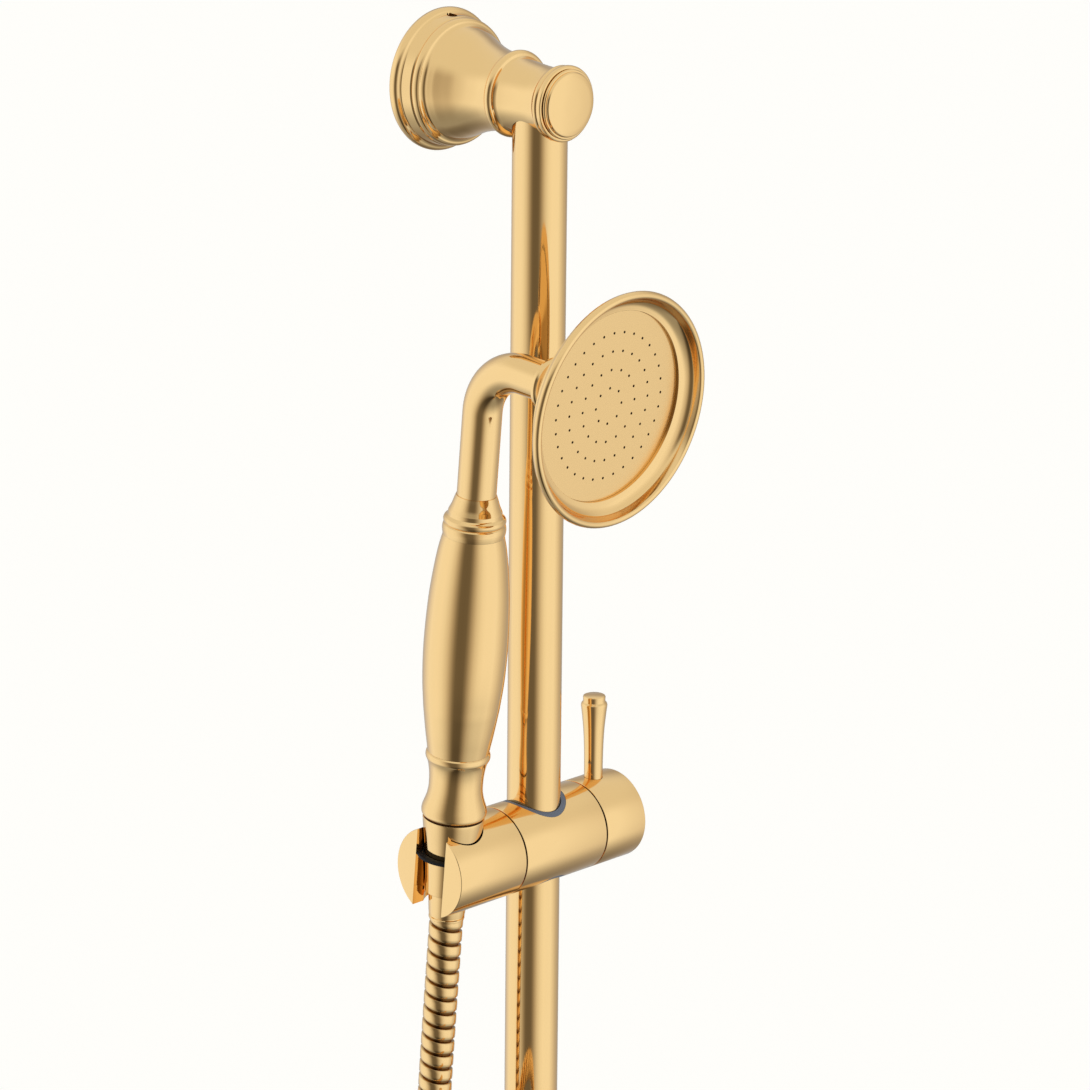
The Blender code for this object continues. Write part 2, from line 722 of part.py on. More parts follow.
def clamp(axis):
    """Brake pad, spindle, knob and lever, turning round the barrel's axis."""
    pad = rod("brake_pad", BRAKE_RADIUS, brake_front, brake_back, axis, PLAIN, rotation=ACROSS)
    as_piece(pad, "brake_pad", "brass")

    knob_start = body_right + JOINT_LINE
    lever_x = knob_start + LEVER_OFFSET
    spindle_start = brake_back + CAM_LIFT + GAP
    spindle_end = lever_x + 6 * MM
    spindle = rod("clamp_spindle", SPINDLE_RADIUS, spindle_start, spindle_end, axis, PLAIN, rotation=ACROSS)
    as_piece(spindle, "clamp_spindle", "brass")

    knob = barrel_piece("clamp_knob", knob_start, knob_start + KNOB_LENGTH, axis)
    bore = rod("knob_bore", SPINDLE_RADIUS + GAP, 0, spindle_end + GAP, axis, PLAIN, rotation=ACROSS)
    combine(knob, bore)

    seat = BARREL_RADIUS - 0.9 * MM
    shank_low = -SPINDLE_RADIUS * 0.6
    place = (lever_x, 0, 0)
    hole_profile = [
        (0, BARREL_RADIUS + OVERRUN),
        (LEVER_BASE_RADIUS + GAP, BARREL_RADIUS + OVERRUN),
        (LEVER_BASE_RADIUS + GAP, seat),
        (LEVER_SHANK_RADIUS + GAP, seat),
        (LEVER_SHANK_RADIUS + GAP, shank_low - GAP),
        (0, shank_low - GAP),
    ]
    hole = turned("lever_hole", hole_profile, axis, PLAIN, place)
    combine(knob, hole)
    combine(spindle, hole)

    base = seat + GAP
    top = BARREL_RADIUS + LEVER_LENGTH
    swell = [(0.71, 0.55), (0.56, 0.28), (0.41, 0.13), (0.2, 0.04)]
    span = top - BARREL_RADIUS
    grow = LEVER_TOP_RADIUS - LEVER_BASE_RADIUS
    shaft = [(LEVER_BASE_RADIUS + grow * s, BARREL_RADIUS + span * h) for h, s in swell]
    profile = [
        (0, top),
        (LEVER_TOP_RADIUS - 1.4 * MM, top - 0.1 * MM),
        (LEVER_TOP_RADIUS - 0.8 * MM, top - 0.7 * MM),
        (LEVER_TOP_RADIUS - 0.9 * MM, top - 2 * MM),
        (LEVER_TOP_RADIUS - 0.2 * MM, top - 3.3 * MM),
        (LEVER_TOP_RADIUS, top - 4.4 * MM),
        *shaft,
        (LEVER_BASE_RADIUS, BARREL_RADIUS + 2 * MM),
        (LEVER_BASE_RADIUS, base),
        (LEVER_SHANK_RADIUS, base),
        (LEVER_SHANK_RADIUS, shank_low),
        (0, shank_low),
    ]
    as_piece(turned("lever", profile, axis, PLAIN, place), "lever", "gold")


# ---------------------------------------------------------------- holder


def seat_radius(height):
    """The holder's conical seat, a gap wider than the nut."""
    slope = (NUT_TOP_RADIUS - NUT_BOTTOM_RADIUS) / (NUT_TOP - NUT_BOTTOM)
    return NUT_BOTTOM_RADIUS + slope * (max(height, NUT_BOTTOM) - NUT_BOTTOM) + GAP


def holder(axis, seat_axis):
    """The tilting end of the barrel, its seat and slot, and the pivot that holds it."""
    inner = -body_left - JOINT_LINE
    outer = -seat_offset - HOLDER_LIP
    piece = barrel_piece("holder", outer, inner, axis)
    high = BARREL_RADIUS + 4 * MM
    seat = [
        (0, high),
        (seat_radius(high), high),
        (seat_radius(NUT_BOTTOM), NUT_BOTTOM),
        (seat_radius(NUT_BOTTOM), -high),
        (0, -high),
    ]
    combine(piece, turned("holder_seat", seat, seat_axis, FINE))
    half = SLOT_WIDTH / 2
    slot = box("holder_slot", (-HOLDER_LIP * 2, -half, -high), (0, half, high), seat_axis)
    combine(piece, slot)
    # A flat rubber ring lies in a groove of the seat, round the nut and across the slot.
    ring_high = SEAT_RING_HEIGHT + SEAT_RING_THICKNESS / 2
    ring_low = SEAT_RING_HEIGHT - SEAT_RING_THICKNESS / 2
    ring_inner = seat_radius(ring_high) + GAP
    ring_outer = ring_inner + SEAT_RING_WIDTH
    groove = rod("seat_groove", ring_outer + GAP, ring_low - GAP, ring_high + GAP, seat_axis, FINE)
    combine(piece, groove)
    ring = tube("seat_ring", ring_outer, ring_inner, ring_low, ring_high, seat_axis, FINE)
    as_piece(ring, "seat_ring", "rubber")

    floor = inner - HUB_LENGTH - FRICTION_WASHER - GAP
    recess = rod("hub_recess", HUB_RADIUS + GAP, floor, inner + OVERRUN, axis, PLAIN, rotation=ACROSS)
    combine(piece, recess)
    head_floor = floor - 4 * MM
    head_room = rod(
        "pivot_counterbore", PIVOT_HEAD_RADIUS + GAP, -seat_offset, head_floor, axis, PLAIN, rotation=ACROSS
    )
    combine(piece, head_room)
    through = rod("pivot_hole", PIVOT_RADIUS + GAP, head_floor - OVERRUN, inner, axis, SMALL, rotation=ACROSS)
    combine(piece, through)

    washer_high = -body_left - HUB_LENGTH - GAP
    washer = tube(
        "friction_washer",
        HUB_RADIUS,
        PIVOT_RADIUS + 2 * GAP,
        washer_high - FRICTION_WASHER,
        washer_high,
        axis,
        PLAIN,
        rotation=ACROSS,
    )
    as_piece(washer, "friction_washer", "white plastic")
    spring_high = head_floor - GAP
    spring = tube(
        "spring_washer",
        PIVOT_HEAD_RADIUS,
        PIVOT_RADIUS + GAP,
        spring_high - SPRING_WASHER,
        spring_high,
        axis,
        SMALL,
        rotation=ACROSS,
    )
    as_piece(spring, "spring_washer", "steel")
    under_head = spring_high - SPRING_WASHER - GAP
    head_low = under_head - PIVOT_HEAD_LENGTH
    tip = -body_left - HUB_LENGTH + PIVOT_DEPTH
    screw_profile = [
        (0, tip),
        (PIVOT_RADIUS, tip),
        (PIVOT_RADIUS, under_head),
        (PIVOT_HEAD_RADIUS, under_head),
        (PIVOT_HEAD_RADIUS, head_low),
        (0, head_low),
    ]
    screw = as_piece(turned("pivot_screw", screw_profile, axis, SMALL, rotation=ACROSS), "pivot_screw", "steel")
    combine(screw, rod("pivot_socket", 2.2 * MM, head_low - OVERRUN, head_low + 2 * MM, axis, 6, rotation=ACROSS))


# ---------------------------------------------------------------- hose end in the holder


def cone_nut(axis):
    """Conical nut on the hose, and the hose's fittings inside it."""
    thread_low = NUT_TOP - THREAD_LENGTH - FLANGE_SEAL - 2.9 * MM
    thread_bore = THREAD_RADIUS + GAP
    stem_bore = STEM_RADIUS + GAP
    profile = [
        (NUT_TOP_RADIUS - 0.3 * MM, NUT_TOP),
        (NUT_TOP_RADIUS, NUT_TOP - 0.5 * MM),
        (NUT_BOTTOM_RADIUS, NUT_BOTTOM + 0.5 * MM),
        (NUT_BOTTOM_RADIUS - 0.4 * MM, NUT_BOTTOM),
        (stem_bore, NUT_BOTTOM),
        (stem_bore, thread_low),
        (thread_bore, thread_low),
        (thread_bore, NUT_TOP),
    ]
    as_piece(turned("cone_nut", profile, axis, FINE), "cone_nut", "gold")

    flange_low = thread_low + GAP
    flange_high = flange_low + 2 * MM
    sleeve_high = NUT_BOTTOM - GAP
    sleeve_low = sleeve_high - HOSE_SLEEVE_LENGTH
    stem = [
        (THREAD_RADIUS - 0.3 * MM, flange_high),
        (THREAD_RADIUS - 0.3 * MM, flange_low),
        (STEM_RADIUS, flange_low),
        (STEM_RADIUS, NUT_BOTTOM),
        (STEM_NECK_RADIUS, NUT_BOTTOM),
        (STEM_NECK_RADIUS, sleeve_low + 1 * MM),
        (STEM_BORE, sleeve_low + 1 * MM),
        (STEM_BORE, flange_high),
    ]
    as_piece(turned("hose_stem", stem, axis, PLAIN), "hose_stem", "brass")

    bore = STEM_NECK_RADIUS + GAP
    radius = HOSE_SLEEVE_RADIUS
    sleeve = [
        (radius - 0.3 * MM, sleeve_high),
        (radius, sleeve_high - 0.5 * MM),
        (radius - 0.2 * MM, sleeve_low + 5 * MM),
        (radius - 0.8 * MM, sleeve_low + 1.8 * MM),
        (radius - 1.6 * MM, sleeve_low),
        (bore, sleeve_low),
        (bore, sleeve_high),
    ]
    as_piece(turned("hose_sleeve", sleeve, axis, PLAIN), "hose_sleeve", "gold")

    washer_low = flange_high + GAP
    washer = tube(
        "inlet_washer", THREAD_RADIUS - 0.3 * MM, 5.5 * MM, washer_low, washer_low + FLANGE_SEAL, axis, PLAIN
    )
    as_piece(washer, "inlet_washer", "rubber")


# ---------------------------------------------------------------- handset


def lower_collar(axis):
    """Threaded inlet, flare, waist and bead, and the flow regulator in its bore."""
    thread_low = collar_bottom - THREAD_GROOVE - THREAD_LENGTH + 0.4 * MM
    top = collar_top
    span = LOWER_COLLAR_LENGTH
    grow = COLLAR_RADIUS - WAIST_RADIUS
    waist = [(0.80, 0.55), (0.68, 0.18), (0.52, 0), (0.36, 0.14), (0.22, 0.5), (0.12, 0.88)]
    flare = [(WAIST_RADIUS + grow * s, collar_bottom + span * h) for h, s in waist]
    recess = SPIGOT_RADIUS + GAP
    recess_low = top - SPIGOT_LENGTH - GAP
    profile = [
        (COLLAR_RADIUS - 0.5 * MM, top),
        (COLLAR_RADIUS - 0.5 * MM, top - 0.9 * MM),
        (COLLAR_RADIUS, top - 1.6 * MM),
        (COLLAR_RADIUS, top - 3 * MM),
        (COLLAR_RADIUS - 0.6 * MM, top - 4 * MM),
        *flare,
        (COLLAR_RADIUS, collar_bottom + 1.2 * MM),
        (COLLAR_RADIUS - 0.3 * MM, collar_bottom),
        (THREAD_RADIUS, collar_bottom),
        (THREAD_RADIUS, thread_low),
        (WATERWAY, thread_low),
        (WATERWAY, recess_low),
        (recess, recess_low),
        (recess, top),
    ]
    as_piece(turned("lower_collar", profile, axis, FINE), "lower_collar", "gold")
    low = thread_low + 1 * MM
    regulator = tube("flow_regulator", WATERWAY - GAP, 1.6 * MM, low, low + 4 * MM, axis, SMALL)
    as_piece(regulator, "flow_regulator", "white plastic")


def handle(axis):
    """Bulbous grip with a spigot below and a socket above, round the core tube."""
    socket = SPIGOT_RADIUS
    socket_low = handle_top - SPIGOT_LENGTH
    end = HANDLE_END_RADIUS
    body = bulge(handle_bottom, handle_top, end, end, HANDLE_RADIUS, 14)
    hollow_low = handle_bottom + HANDLE_WALL
    hollow = bulge(hollow_low, socket_low, socket, socket, HANDLE_RADIUS - HANDLE_WALL, 8)
    profile = [
        *body,
        (SPIGOT_RADIUS, handle_bottom),
        (SPIGOT_RADIUS, handle_bottom - SPIGOT_LENGTH),
        (WATERWAY, handle_bottom - SPIGOT_LENGTH),
        (WATERWAY, hollow_low),
        *reversed(hollow),
        (socket, handle_top),
    ]
    as_piece(turned("handle_grip", profile, axis, FINE), "handle_grip", "gold")
    low = handle_bottom - SPIGOT_LENGTH - 8 * MM
    high = handle_top + UPPER_COLLAR_LENGTH + 2 * MM
    core = tube("core_tube", CORE_RADIUS, CORE_RADIUS - CORE_WALL, low, high, axis, SMALL)
    as_piece(core, "core_tube", "white plastic")


def upper_collar(axis):
    """Two beads, a plain ring and a cone up to the neck."""
    low = handle_top + GAP
    high = low + UPPER_COLLAR_LENGTH
    bead = COLLAR_RADIUS - 0.5 * MM
    neck = NECK_RADIUS + GAP
    spigot = SPIGOT_RADIUS - GAP
    floor = high - NECK_IN_COLLAR
    profile = [
        (NECK_RADIUS + 0.9 * MM, high),
        (NECK_RADIUS + 1.5 * MM, high - 2.6 * MM),
        (NECK_RADIUS + 2.9 * MM, high - 6.2 * MM),
        (NECK_RADIUS + 3.1 * MM, high - 8 * MM),
        (bead - 0.9 * MM, high - 9 * MM),
        (bead, high - 10.4 * MM),
        (bead - 0.1 * MM, high - 11.6 * MM),
        (bead - 0.7 * MM, high - 12.4 * MM),
        (bead, low + 2.6 * MM),
        (bead, low + 1.2 * MM),
        (bead - 0.5 * MM, low),
        (spigot, low),
        (spigot, low - SPIGOT_LENGTH + GAP),
        (CORE_RADIUS + GAP, low - SPIGOT_LENGTH + GAP),
        (CORE_RADIUS + GAP, floor),
        (neck, floor),
        (neck, high),
    ]
    as_piece(turned("upper_collar", profile, axis, FINE), "upper_collar", "gold")


def neck_line(start, end_cut):
    """The neck's centre line in the handset's frame, from start to end_cut short of the rim."""
    points = [(0, 0, start), (0, 0, bend_start)]
    steps = 8
    for i in range(1, steps + 1):
        a = BEND_ANGLE * i / steps
        forward = BEND_RADIUS * (1 - math.cos(a))
        up = bend_start + BEND_RADIUS * math.sin(a)
        points.append((0, -forward, up))
    direction = Vector((0, -math.sin(BEND_ANGLE), math.cos(BEND_ANGLE)))
    corner = Vector((0, 0, bend_corner))
    points.append(tuple(corner + direction * (head_reach - end_cut)))
    return points


def neck_tube(axis):
    """Bent tube from the upper collar to the head, with a bore all through."""
    start = handle_top + GAP + UPPER_COLLAR_LENGTH - NECK_IN_COLLAR + GAP
    end_cut = HEAD_DEPTH - NECK_IN_HEAD + GAP
    outer = swept("neck_tube", neck_line(start, end_cut), NECK_RADIUS, 4)
    inner_line = neck_line(start - OVERRUN, end_cut - OVERRUN)
    inner = swept("neck_bore", inner_line, NECK_RADIUS - NECK_TUBE_WALL, 4)
    outer.parent = axis
    inner.parent = axis
    as_piece(outer, "neck_tube", "gold")
    combine(outer, inner)


def head(axis):
    """Bell with its recessed rim, the spray plate and the plate's seal."""
    seat = SPRAY_PLATE_RADIUS + GAP
    plate_front = -PLATE_INSET_DEPTH
    plate_back = plate_front - SPRAY_PLATE_THICKNESS
    seal_back = plate_back - GAP - PLATE_SEAL
    floor = seal_back - GAP
    back = -HEAD_DEPTH
    outer_shares = [(0.80, 0.06), (0.69, 0.16), (0.54, 0.35), (0.41, 0.57), (0.29, 0.81)]
    grow = HEAD_RADIUS - BOSS_RADIUS - 0.6 * MM
    outer = [(BOSS_RADIUS + grow * s, back * h) for h, s in reversed(outer_shares)]
    inner = []
    for share in (0.34, 0.16):
        height = back * (0.52 if share > 0.2 else 0.68) + BELL_WALL
        inner.append((BOSS_RADIUS + grow * share - BELL_WALL, height))
    tube_bore = NECK_RADIUS + GAP
    waterway = NECK_RADIUS - NECK_TUBE_WALL
    profile = [
        (HEAD_RADIUS - 1.2 * MM, 0),
        (HEAD_RADIUS, -1.3 * MM),
        (HEAD_RADIUS, -2.6 * MM),
        (HEAD_RADIUS - 1.4 * MM, -4.2 * MM),
        *outer,
        (BOSS_RADIUS - 0.7 * MM, back * 0.88),
        (BOSS_RADIUS, back * 0.94),
        (BOSS_RADIUS - 0.6 * MM, back),
        (tube_bore, back),
        (tube_bore, back + NECK_IN_HEAD),
        (waterway, back + NECK_IN_HEAD),
        (waterway, back * 0.76),
        *reversed(inner),
        (seat - 4 * MM, floor),
        (seat, floor),
        (seat, plate_front),
        (seat + 1.2 * MM, plate_front + 1.6 * MM),
        (HEAD_RADIUS - 3.6 * MM, -1.6 * MM),
        (HEAD_RADIUS - 2.8 * MM, -0.4 * MM),
    ]
    as_piece(turned("head_bell", profile, axis, FINE + 8), "head_bell", "gold")
    plate = rod("spray_plate", SPRAY_PLATE_RADIUS, plate_back, plate_front, axis, FINE + 8)
    as_piece(plate, "spray_plate", "gold")
    seal = tube(
        "plate_seal",
        SPRAY_PLATE_RADIUS - GAP,
        seat - 4 * MM,
        seal_back,
        plate_back - GAP,
        axis,
        FINE,
    )
    as_piece(seal, "plate_seal", "rubber")


# ---------------------------------------------------------------- hose


def hose(exit_point):
    """The hanging hose, its folded rest, the tie and the far end's fittings."""
    start = Vector(exit_point)
    route = [start + Vector(step) for step in HOSE_ROUTE]
    hank_top = route[-1]
    shoulder = math.sqrt((HANK_BEND + HOSE_RADIUS) ** 2 - (HANK_BEND - HOSE_RADIUS) ** 2)
    line = [p for p in smooth_line(route, 0.03) if p.z > hank_top.z + shoulder + 2 * HOSE_RADIUS]
    share = (hank_top.z + shoulder + OVERRUN - route[4].z) / (route[3].z - route[4].z)
    line.append(route[4].lerp(route[3], share))
    as_piece(swept("hose", line, HOSE_RADIUS, 3), "hose", "gold")

    # The hank's outline lies in the plane of its two layers, with its lead-in at the wall side.
    reach = HANK_BEND + HOSE_RADIUS
    hole = HANK_BEND - HOSE_RADIUS
    corner = math.atan2(shoulder, hole)
    outline = [(reach, shoulder), (hole, shoulder)]
    outline += arc(reach, corner, math.pi, 10)[1:]
    outline += [(x, z - HANK_RUN) for x, z in arc(reach, math.pi, 2 * math.pi, 12)]
    opening = arc(hole, 0, math.pi, 10)
    opening += [(x, z - HANK_RUN) for x, z in arc(hole, math.pi, 2 * math.pi, 10)]
    hank = extruded_ring("hose_hank", outline, opening, 2 * HOSE_RADIUS)
    middle = hank_top - Vector((HOSE_RADIUS, HANK_BEND, 0))
    hank.location = middle
    as_piece(hank, "hose_hank", "gold")
    end_height = hank_top.z - HANK_RUN + HANK_END
    end_x = hank_top.x - HOSE_RADIUS - GAP - END_NUT_RADIUS
    end_y = hank_top.y - 2 * HANK_BEND
    free = box(
        "hank_end_room",
        (end_x - 2 * END_NUT_RADIUS, end_y - 2 * HOSE_RADIUS, end_height - GAP),
        (hank_top.x - HOSE_RADIUS, end_y + END_NUT_RADIUS + OVERRUN, hank_top.z),
    )
    combine(hank, free)

    tie_low = hank_top.z - HANK_RUN + TIE_HEIGHT
    inner_low = Vector((middle.x - 2 * HOSE_RADIUS - GAP, middle.y - reach - GAP, tie_low))
    inner_high = Vector((middle.x + 2 * HOSE_RADIUS + GAP, middle.y + reach + GAP, tie_low + TIE_WIDTH))
    wall = Vector((TIE_THICKNESS, TIE_THICKNESS, 0))
    past = Vector((0, 0, OVERRUN))
    tie = as_piece(box("hose_tie", inner_low - wall, inner_high + wall), "hose_tie", "strap")
    combine(tie, box("tie_opening", inner_low - past, inner_high + past))

    end_axis = axis_empty("hose_end_axis", (end_x, end_y, end_height))
    bore = STEM_NECK_RADIUS + GAP
    radius = HOSE_SLEEVE_RADIUS
    sleeve = [
        (radius - 0.3 * MM, END_SLEEVE_LENGTH),
        (radius, END_SLEEVE_LENGTH - 0.6 * MM),
        (radius, 2 * MM),
        (radius - 0.7 * MM, 0),
        (bore, 0),
        (bore, END_SLEEVE_LENGTH),
    ]
    as_piece(turned("end_sleeve", sleeve, end_axis, PLAIN), "end_sleeve", "gold")
    nut_low = END_SLEEVE_LENGTH + GAP
    nut_high = nut_low + END_NUT_LENGTH
    flange_low = nut_low + 3 * MM + GAP
    flange_high = flange_low + 2 * MM
    stem = [
        (THREAD_RADIUS - 0.3 * MM, flange_high),
        (THREAD_RADIUS - 0.3 * MM, flange_low),
        (STEM_RADIUS, flange_low),
        (STEM_RADIUS, nut_low),
        (STEM_NECK_RADIUS, nut_low),
        (STEM_NECK_RADIUS, 1 * MM),
        (STEM_BORE, 1 * MM),
        (STEM_BORE, flange_high),
    ]
    as_piece(turned("end_stem", stem, end_axis, PLAIN), "end_stem", "brass")
    nut = as_piece(rod("end_nut", END_NUT_RADIUS, nut_low, nut_high, end_axis, 6), "end_nut", "gold")
    cavity = [
        (0, nut_high + OVERRUN),
        (THREAD_RADIUS + GAP, nut_high + OVERRUN),
        (THREAD_RADIUS + GAP, nut_low + 3 * MM),
        (STEM_RADIUS + GAP, nut_low + 3 * MM),
        (STEM_RADIUS + GAP, nut_low - OVERRUN),
        (0, nut_low - OVERRUN),
    ]
    combine(nut, turned("end_nut_bore", cavity, end_axis, PLAIN))
    washer_low = flange_high + GAP
    washer = tube("end_washer", THREAD_RADIUS - 0.3 * MM, 5.5 * MM, washer_low, washer_low + FLANGE_SEAL, end_axis)
    as_piece(washer, "end_washer", "rubber")


def extruded_ring(name, outline, opening, half_thickness):
    """A flat outline with an opening, extruded both ways along X. Its plane is (Y, Z)."""
    curve = bpy.data.curves.new(name, "CURVE")
    curve.dimensions = "2D"
    curve.fill_mode = "BOTH"
    curve.extrude = half_thickness
    for points in (outline, opening):
        spline = curve.splines.new("POLY")
        spline.points.add(len(points) - 1)
        spline.use_cyclic_u = True
        for point, (across, up) in zip(spline.points, points):
            point.co = (across, up, 0, 1)
    guide = bpy.data.objects.new(name, curve)
    bpy.context.scene.collection.objects.link(guide)
    bpy.context.view_layer.update()
    graph = bpy.context.evaluated_depsgraph_get()
    mesh = bpy.data.meshes.new_from_object(guide.evaluated_get(graph))
    upright = Matrix(((0, 0, 1, 0), (1, 0, 0, 0), (0, 1, 0, 0), (0, 0, 0, 1)))
    shape = bmesh.new()
    shape.from_mesh(mesh)
    bmesh.ops.remove_doubles(shape, verts=shape.verts, dist=0.00001)
    bmesh.ops.transform(shape, matrix=upright, verts=shape.verts)
    bmesh.ops.recalc_face_normals(shape, faces=shape.faces)
    shape.to_mesh(mesh)
    shape.free()
    bpy.data.objects.remove(guide)
    thing = bpy.data.objects.new(name, mesh)
    bpy.context.scene.collection.objects.link(thing)
    return thing


# ---------------------------------------------------------------- assembly

clear_scene()
parts = new_collection("hand_shower_set")
cutters = new_collection("cutters", hidden=True)

upper_axis = axis_empty("upper_bracket_axis", (0, 0, 0), (math.pi / 2, 0, 0))
lower_axis = axis_empty("lower_bracket_axis", (0, 0, -BRACKET_SPACING), (math.pi / 2, math.pi, 0))
bracket("upper", upper_axis)
bracket("lower", lower_axis)
rail()

slider_axis = axis_empty("slider_axis", (0, -RAIL_STANDOFF, SLIDER_HEIGHT))
slider_middle(slider_axis)
clamp(slider_axis)
handset_axis = axis_empty("handset_axis", (-seat_offset, 0, 0), (HANDSET_TILT, 0, 0), slider_axis)
holder(slider_axis, handset_axis)
cone_nut(handset_axis)
lower_collar(handset_axis)
handle(handset_axis)
upper_collar(handset_axis)
turned_axis = axis_empty("turned_axis", (0, 0, 0), (0, 0, HANDSET_TURN), handset_axis)
neck_tube(turned_axis)
reach = Vector((0, -math.sin(BEND_ANGLE), math.cos(BEND_ANGLE))) * head_reach
head_place = Vector((0, 0, bend_corner)) + reach
head_axis = axis_empty("head_axis", head_place, (BEND_ANGLE, 0, 0), turned_axis)
head(head_axis)

seat_middle = Vector((-seat_offset, -RAIL_STANDOFF, SLIDER_HEIGHT))
down_axis = Vector((0, math.sin(HANDSET_TILT), -math.cos(HANDSET_TILT)))
hose(seat_middle + down_axis * -hose_exit_height)

for mesh in bpy.data.meshes:
    if mesh.polygons:
        mesh.shade_smooth()
        mesh.set_sharp_from_angle(angle=math.radians(40))
bpy.context.view_layer.update()
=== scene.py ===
"""Looks of a hand shower on a slide rail: turned and bent pieces in brushed gold, a spiral
metal hose tied in a hank, and a pale studio.

Shapes are drawn in millimetres and placed in metres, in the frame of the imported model. Turned
pieces are drawn as half sections, from their upper or outer end down the outer side.
"""

from __future__ import annotations

import json
import logging
import math
from dataclasses import dataclass, field
from enum import Enum
from typing import Any, Iterable, Sequence

import bmesh
import bpy
from mathutils import Matrix, Vector

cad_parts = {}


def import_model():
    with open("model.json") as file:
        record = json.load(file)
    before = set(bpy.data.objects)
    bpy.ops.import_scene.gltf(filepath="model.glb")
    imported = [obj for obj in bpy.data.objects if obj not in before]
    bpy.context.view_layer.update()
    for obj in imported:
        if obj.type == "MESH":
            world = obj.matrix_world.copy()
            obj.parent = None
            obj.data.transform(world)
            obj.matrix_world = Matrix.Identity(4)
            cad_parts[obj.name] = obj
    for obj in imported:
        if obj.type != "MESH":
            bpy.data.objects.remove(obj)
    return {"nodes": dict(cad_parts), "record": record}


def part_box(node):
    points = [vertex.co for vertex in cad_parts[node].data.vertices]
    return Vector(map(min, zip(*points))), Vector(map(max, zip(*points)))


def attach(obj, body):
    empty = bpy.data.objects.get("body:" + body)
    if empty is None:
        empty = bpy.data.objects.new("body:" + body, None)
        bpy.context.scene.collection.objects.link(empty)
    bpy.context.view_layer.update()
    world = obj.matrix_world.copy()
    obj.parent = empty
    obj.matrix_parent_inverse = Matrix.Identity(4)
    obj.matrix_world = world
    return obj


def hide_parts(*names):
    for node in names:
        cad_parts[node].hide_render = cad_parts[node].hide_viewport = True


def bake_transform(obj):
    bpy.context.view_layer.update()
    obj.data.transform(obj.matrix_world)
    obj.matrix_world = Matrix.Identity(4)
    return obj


log = logging.getLogger("hand_shower")

MM = 0.001
GAP = 0.3  # play between two pieces that touch, in millimetres
OVERRUN = 3.0  # how far a cutter runs past what it opens, in millimetres
SNUG = 0.1  # play round a piece in its bore, in millimetres
REACH = 30.0  # how far a cutter runs from its own middle, in millimetres
CREASE = math.radians(32)  # an edge that bends more than this is drawn sharp
ON_AXIS = 1e-6  # a corner nearer the axis than this lies on it, in millimetres
EASED_SHARE = 0.45  # the most of a side that the easing of one corner takes up
EASED_STEPS = (0.0, 0.33, 0.67, 1.0)  # where along an eased corner its points lie

Point = tuple[float, float]
Colour = tuple[float, float, float, float]


# ---------------------------------------------------------------- shapes


class Steps(Enum):
    """How many sides a turned piece has."""

    LARGE = 128
    MEDIUM = 96
    SMALL = 48
    HEXAGON = 6


def smooth_curve(points: Sequence[Vector], samples: int) -> list[Vector]:
    """Draws a smooth curve through points.

    Args:
        points: what the curve passes through, in order.
        samples: how many steps each stretch between two points gets.

    Returns:
        The curve's points, the first and last of points included.
    """
    knots = [2 * points[0] - points[1], *points, 2 * points[-1] - points[-2]]
    line: list[Vector] = []
    for before, start, end, after in zip(knots, knots[1:], knots[2:], knots[3:]):
        for step in range(samples):
            t = step / samples
            bend = 2 * before - 5 * start + 4 * end - after
            twist = 3 * start - before - 3 * end + after
            line.append(start + 0.5 * t * (end - before + t * (bend + t * twist)))
    return [*line, knots[-2].copy()]


def length_of(line: Sequence[Vector]) -> float:
    """Gives the length of a line through points."""
    return sum((end - start).length for start, end in zip(line, line[1:]))


class Outline:
    """A half section of a turned piece, as (radius, height) corners in millimetres."""

    def __init__(self, radius: float, height: float, edge: float = 0.0) -> None:
        """Starts the outline at a corner, eased by edge."""
        self._corners: list[tuple[Vector, float]] = [(Vector((radius, height)), edge)]

    def to(self, radius: float, height: float, edge: float = 0.0) -> Outline:
        """Draws straight to a corner.

        Args:
            radius: the corner's distance from the axis.
            height: its place along the axis.
            edge: how far from the corner its easing starts.

        Returns:
            The outline, for the next step.
        """
        self._corners.append((Vector((radius, height)), edge))
        return self

    def curve(self, *points: Point, samples: int = 6) -> Outline:
        """Draws one smooth curve from the last corner through points.

        Args:
            points: what the curve passes through.
            samples: steps for each stretch.

        Returns:
            The outline, for the next step.
        """
        line = smooth_curve([self._corners[-1][0], *map(Vector, points)], samples)
        self._corners += [(point, 0.0) for point in line[1:]]
        return self

    def points(self) -> list[Vector]:
        """Eases the corners.

        Returns:
            The outline's points.
        """
        eased: list[Vector] = []
        count = len(self._corners)
        for index, (corner, edge) in enumerate(self._corners):
            before = self._corners[index - 1][0]
            after = self._corners[(index + 1) % count][0]
            room = EASED_SHARE * min((corner - before).length, (corner - after).length)
            reach = min(edge, room)
            if reach <= 0:
                eased.append(corner)
                continue
            start = corner + (before - corner).normalized() * reach
            end = corner + (after - corner).normalized() * reach
            for t in EASED_STEPS:
                eased.append(start * (1 - t) ** 2 + corner * 2 * t * (1 - t) + end * t * t)
        return eased


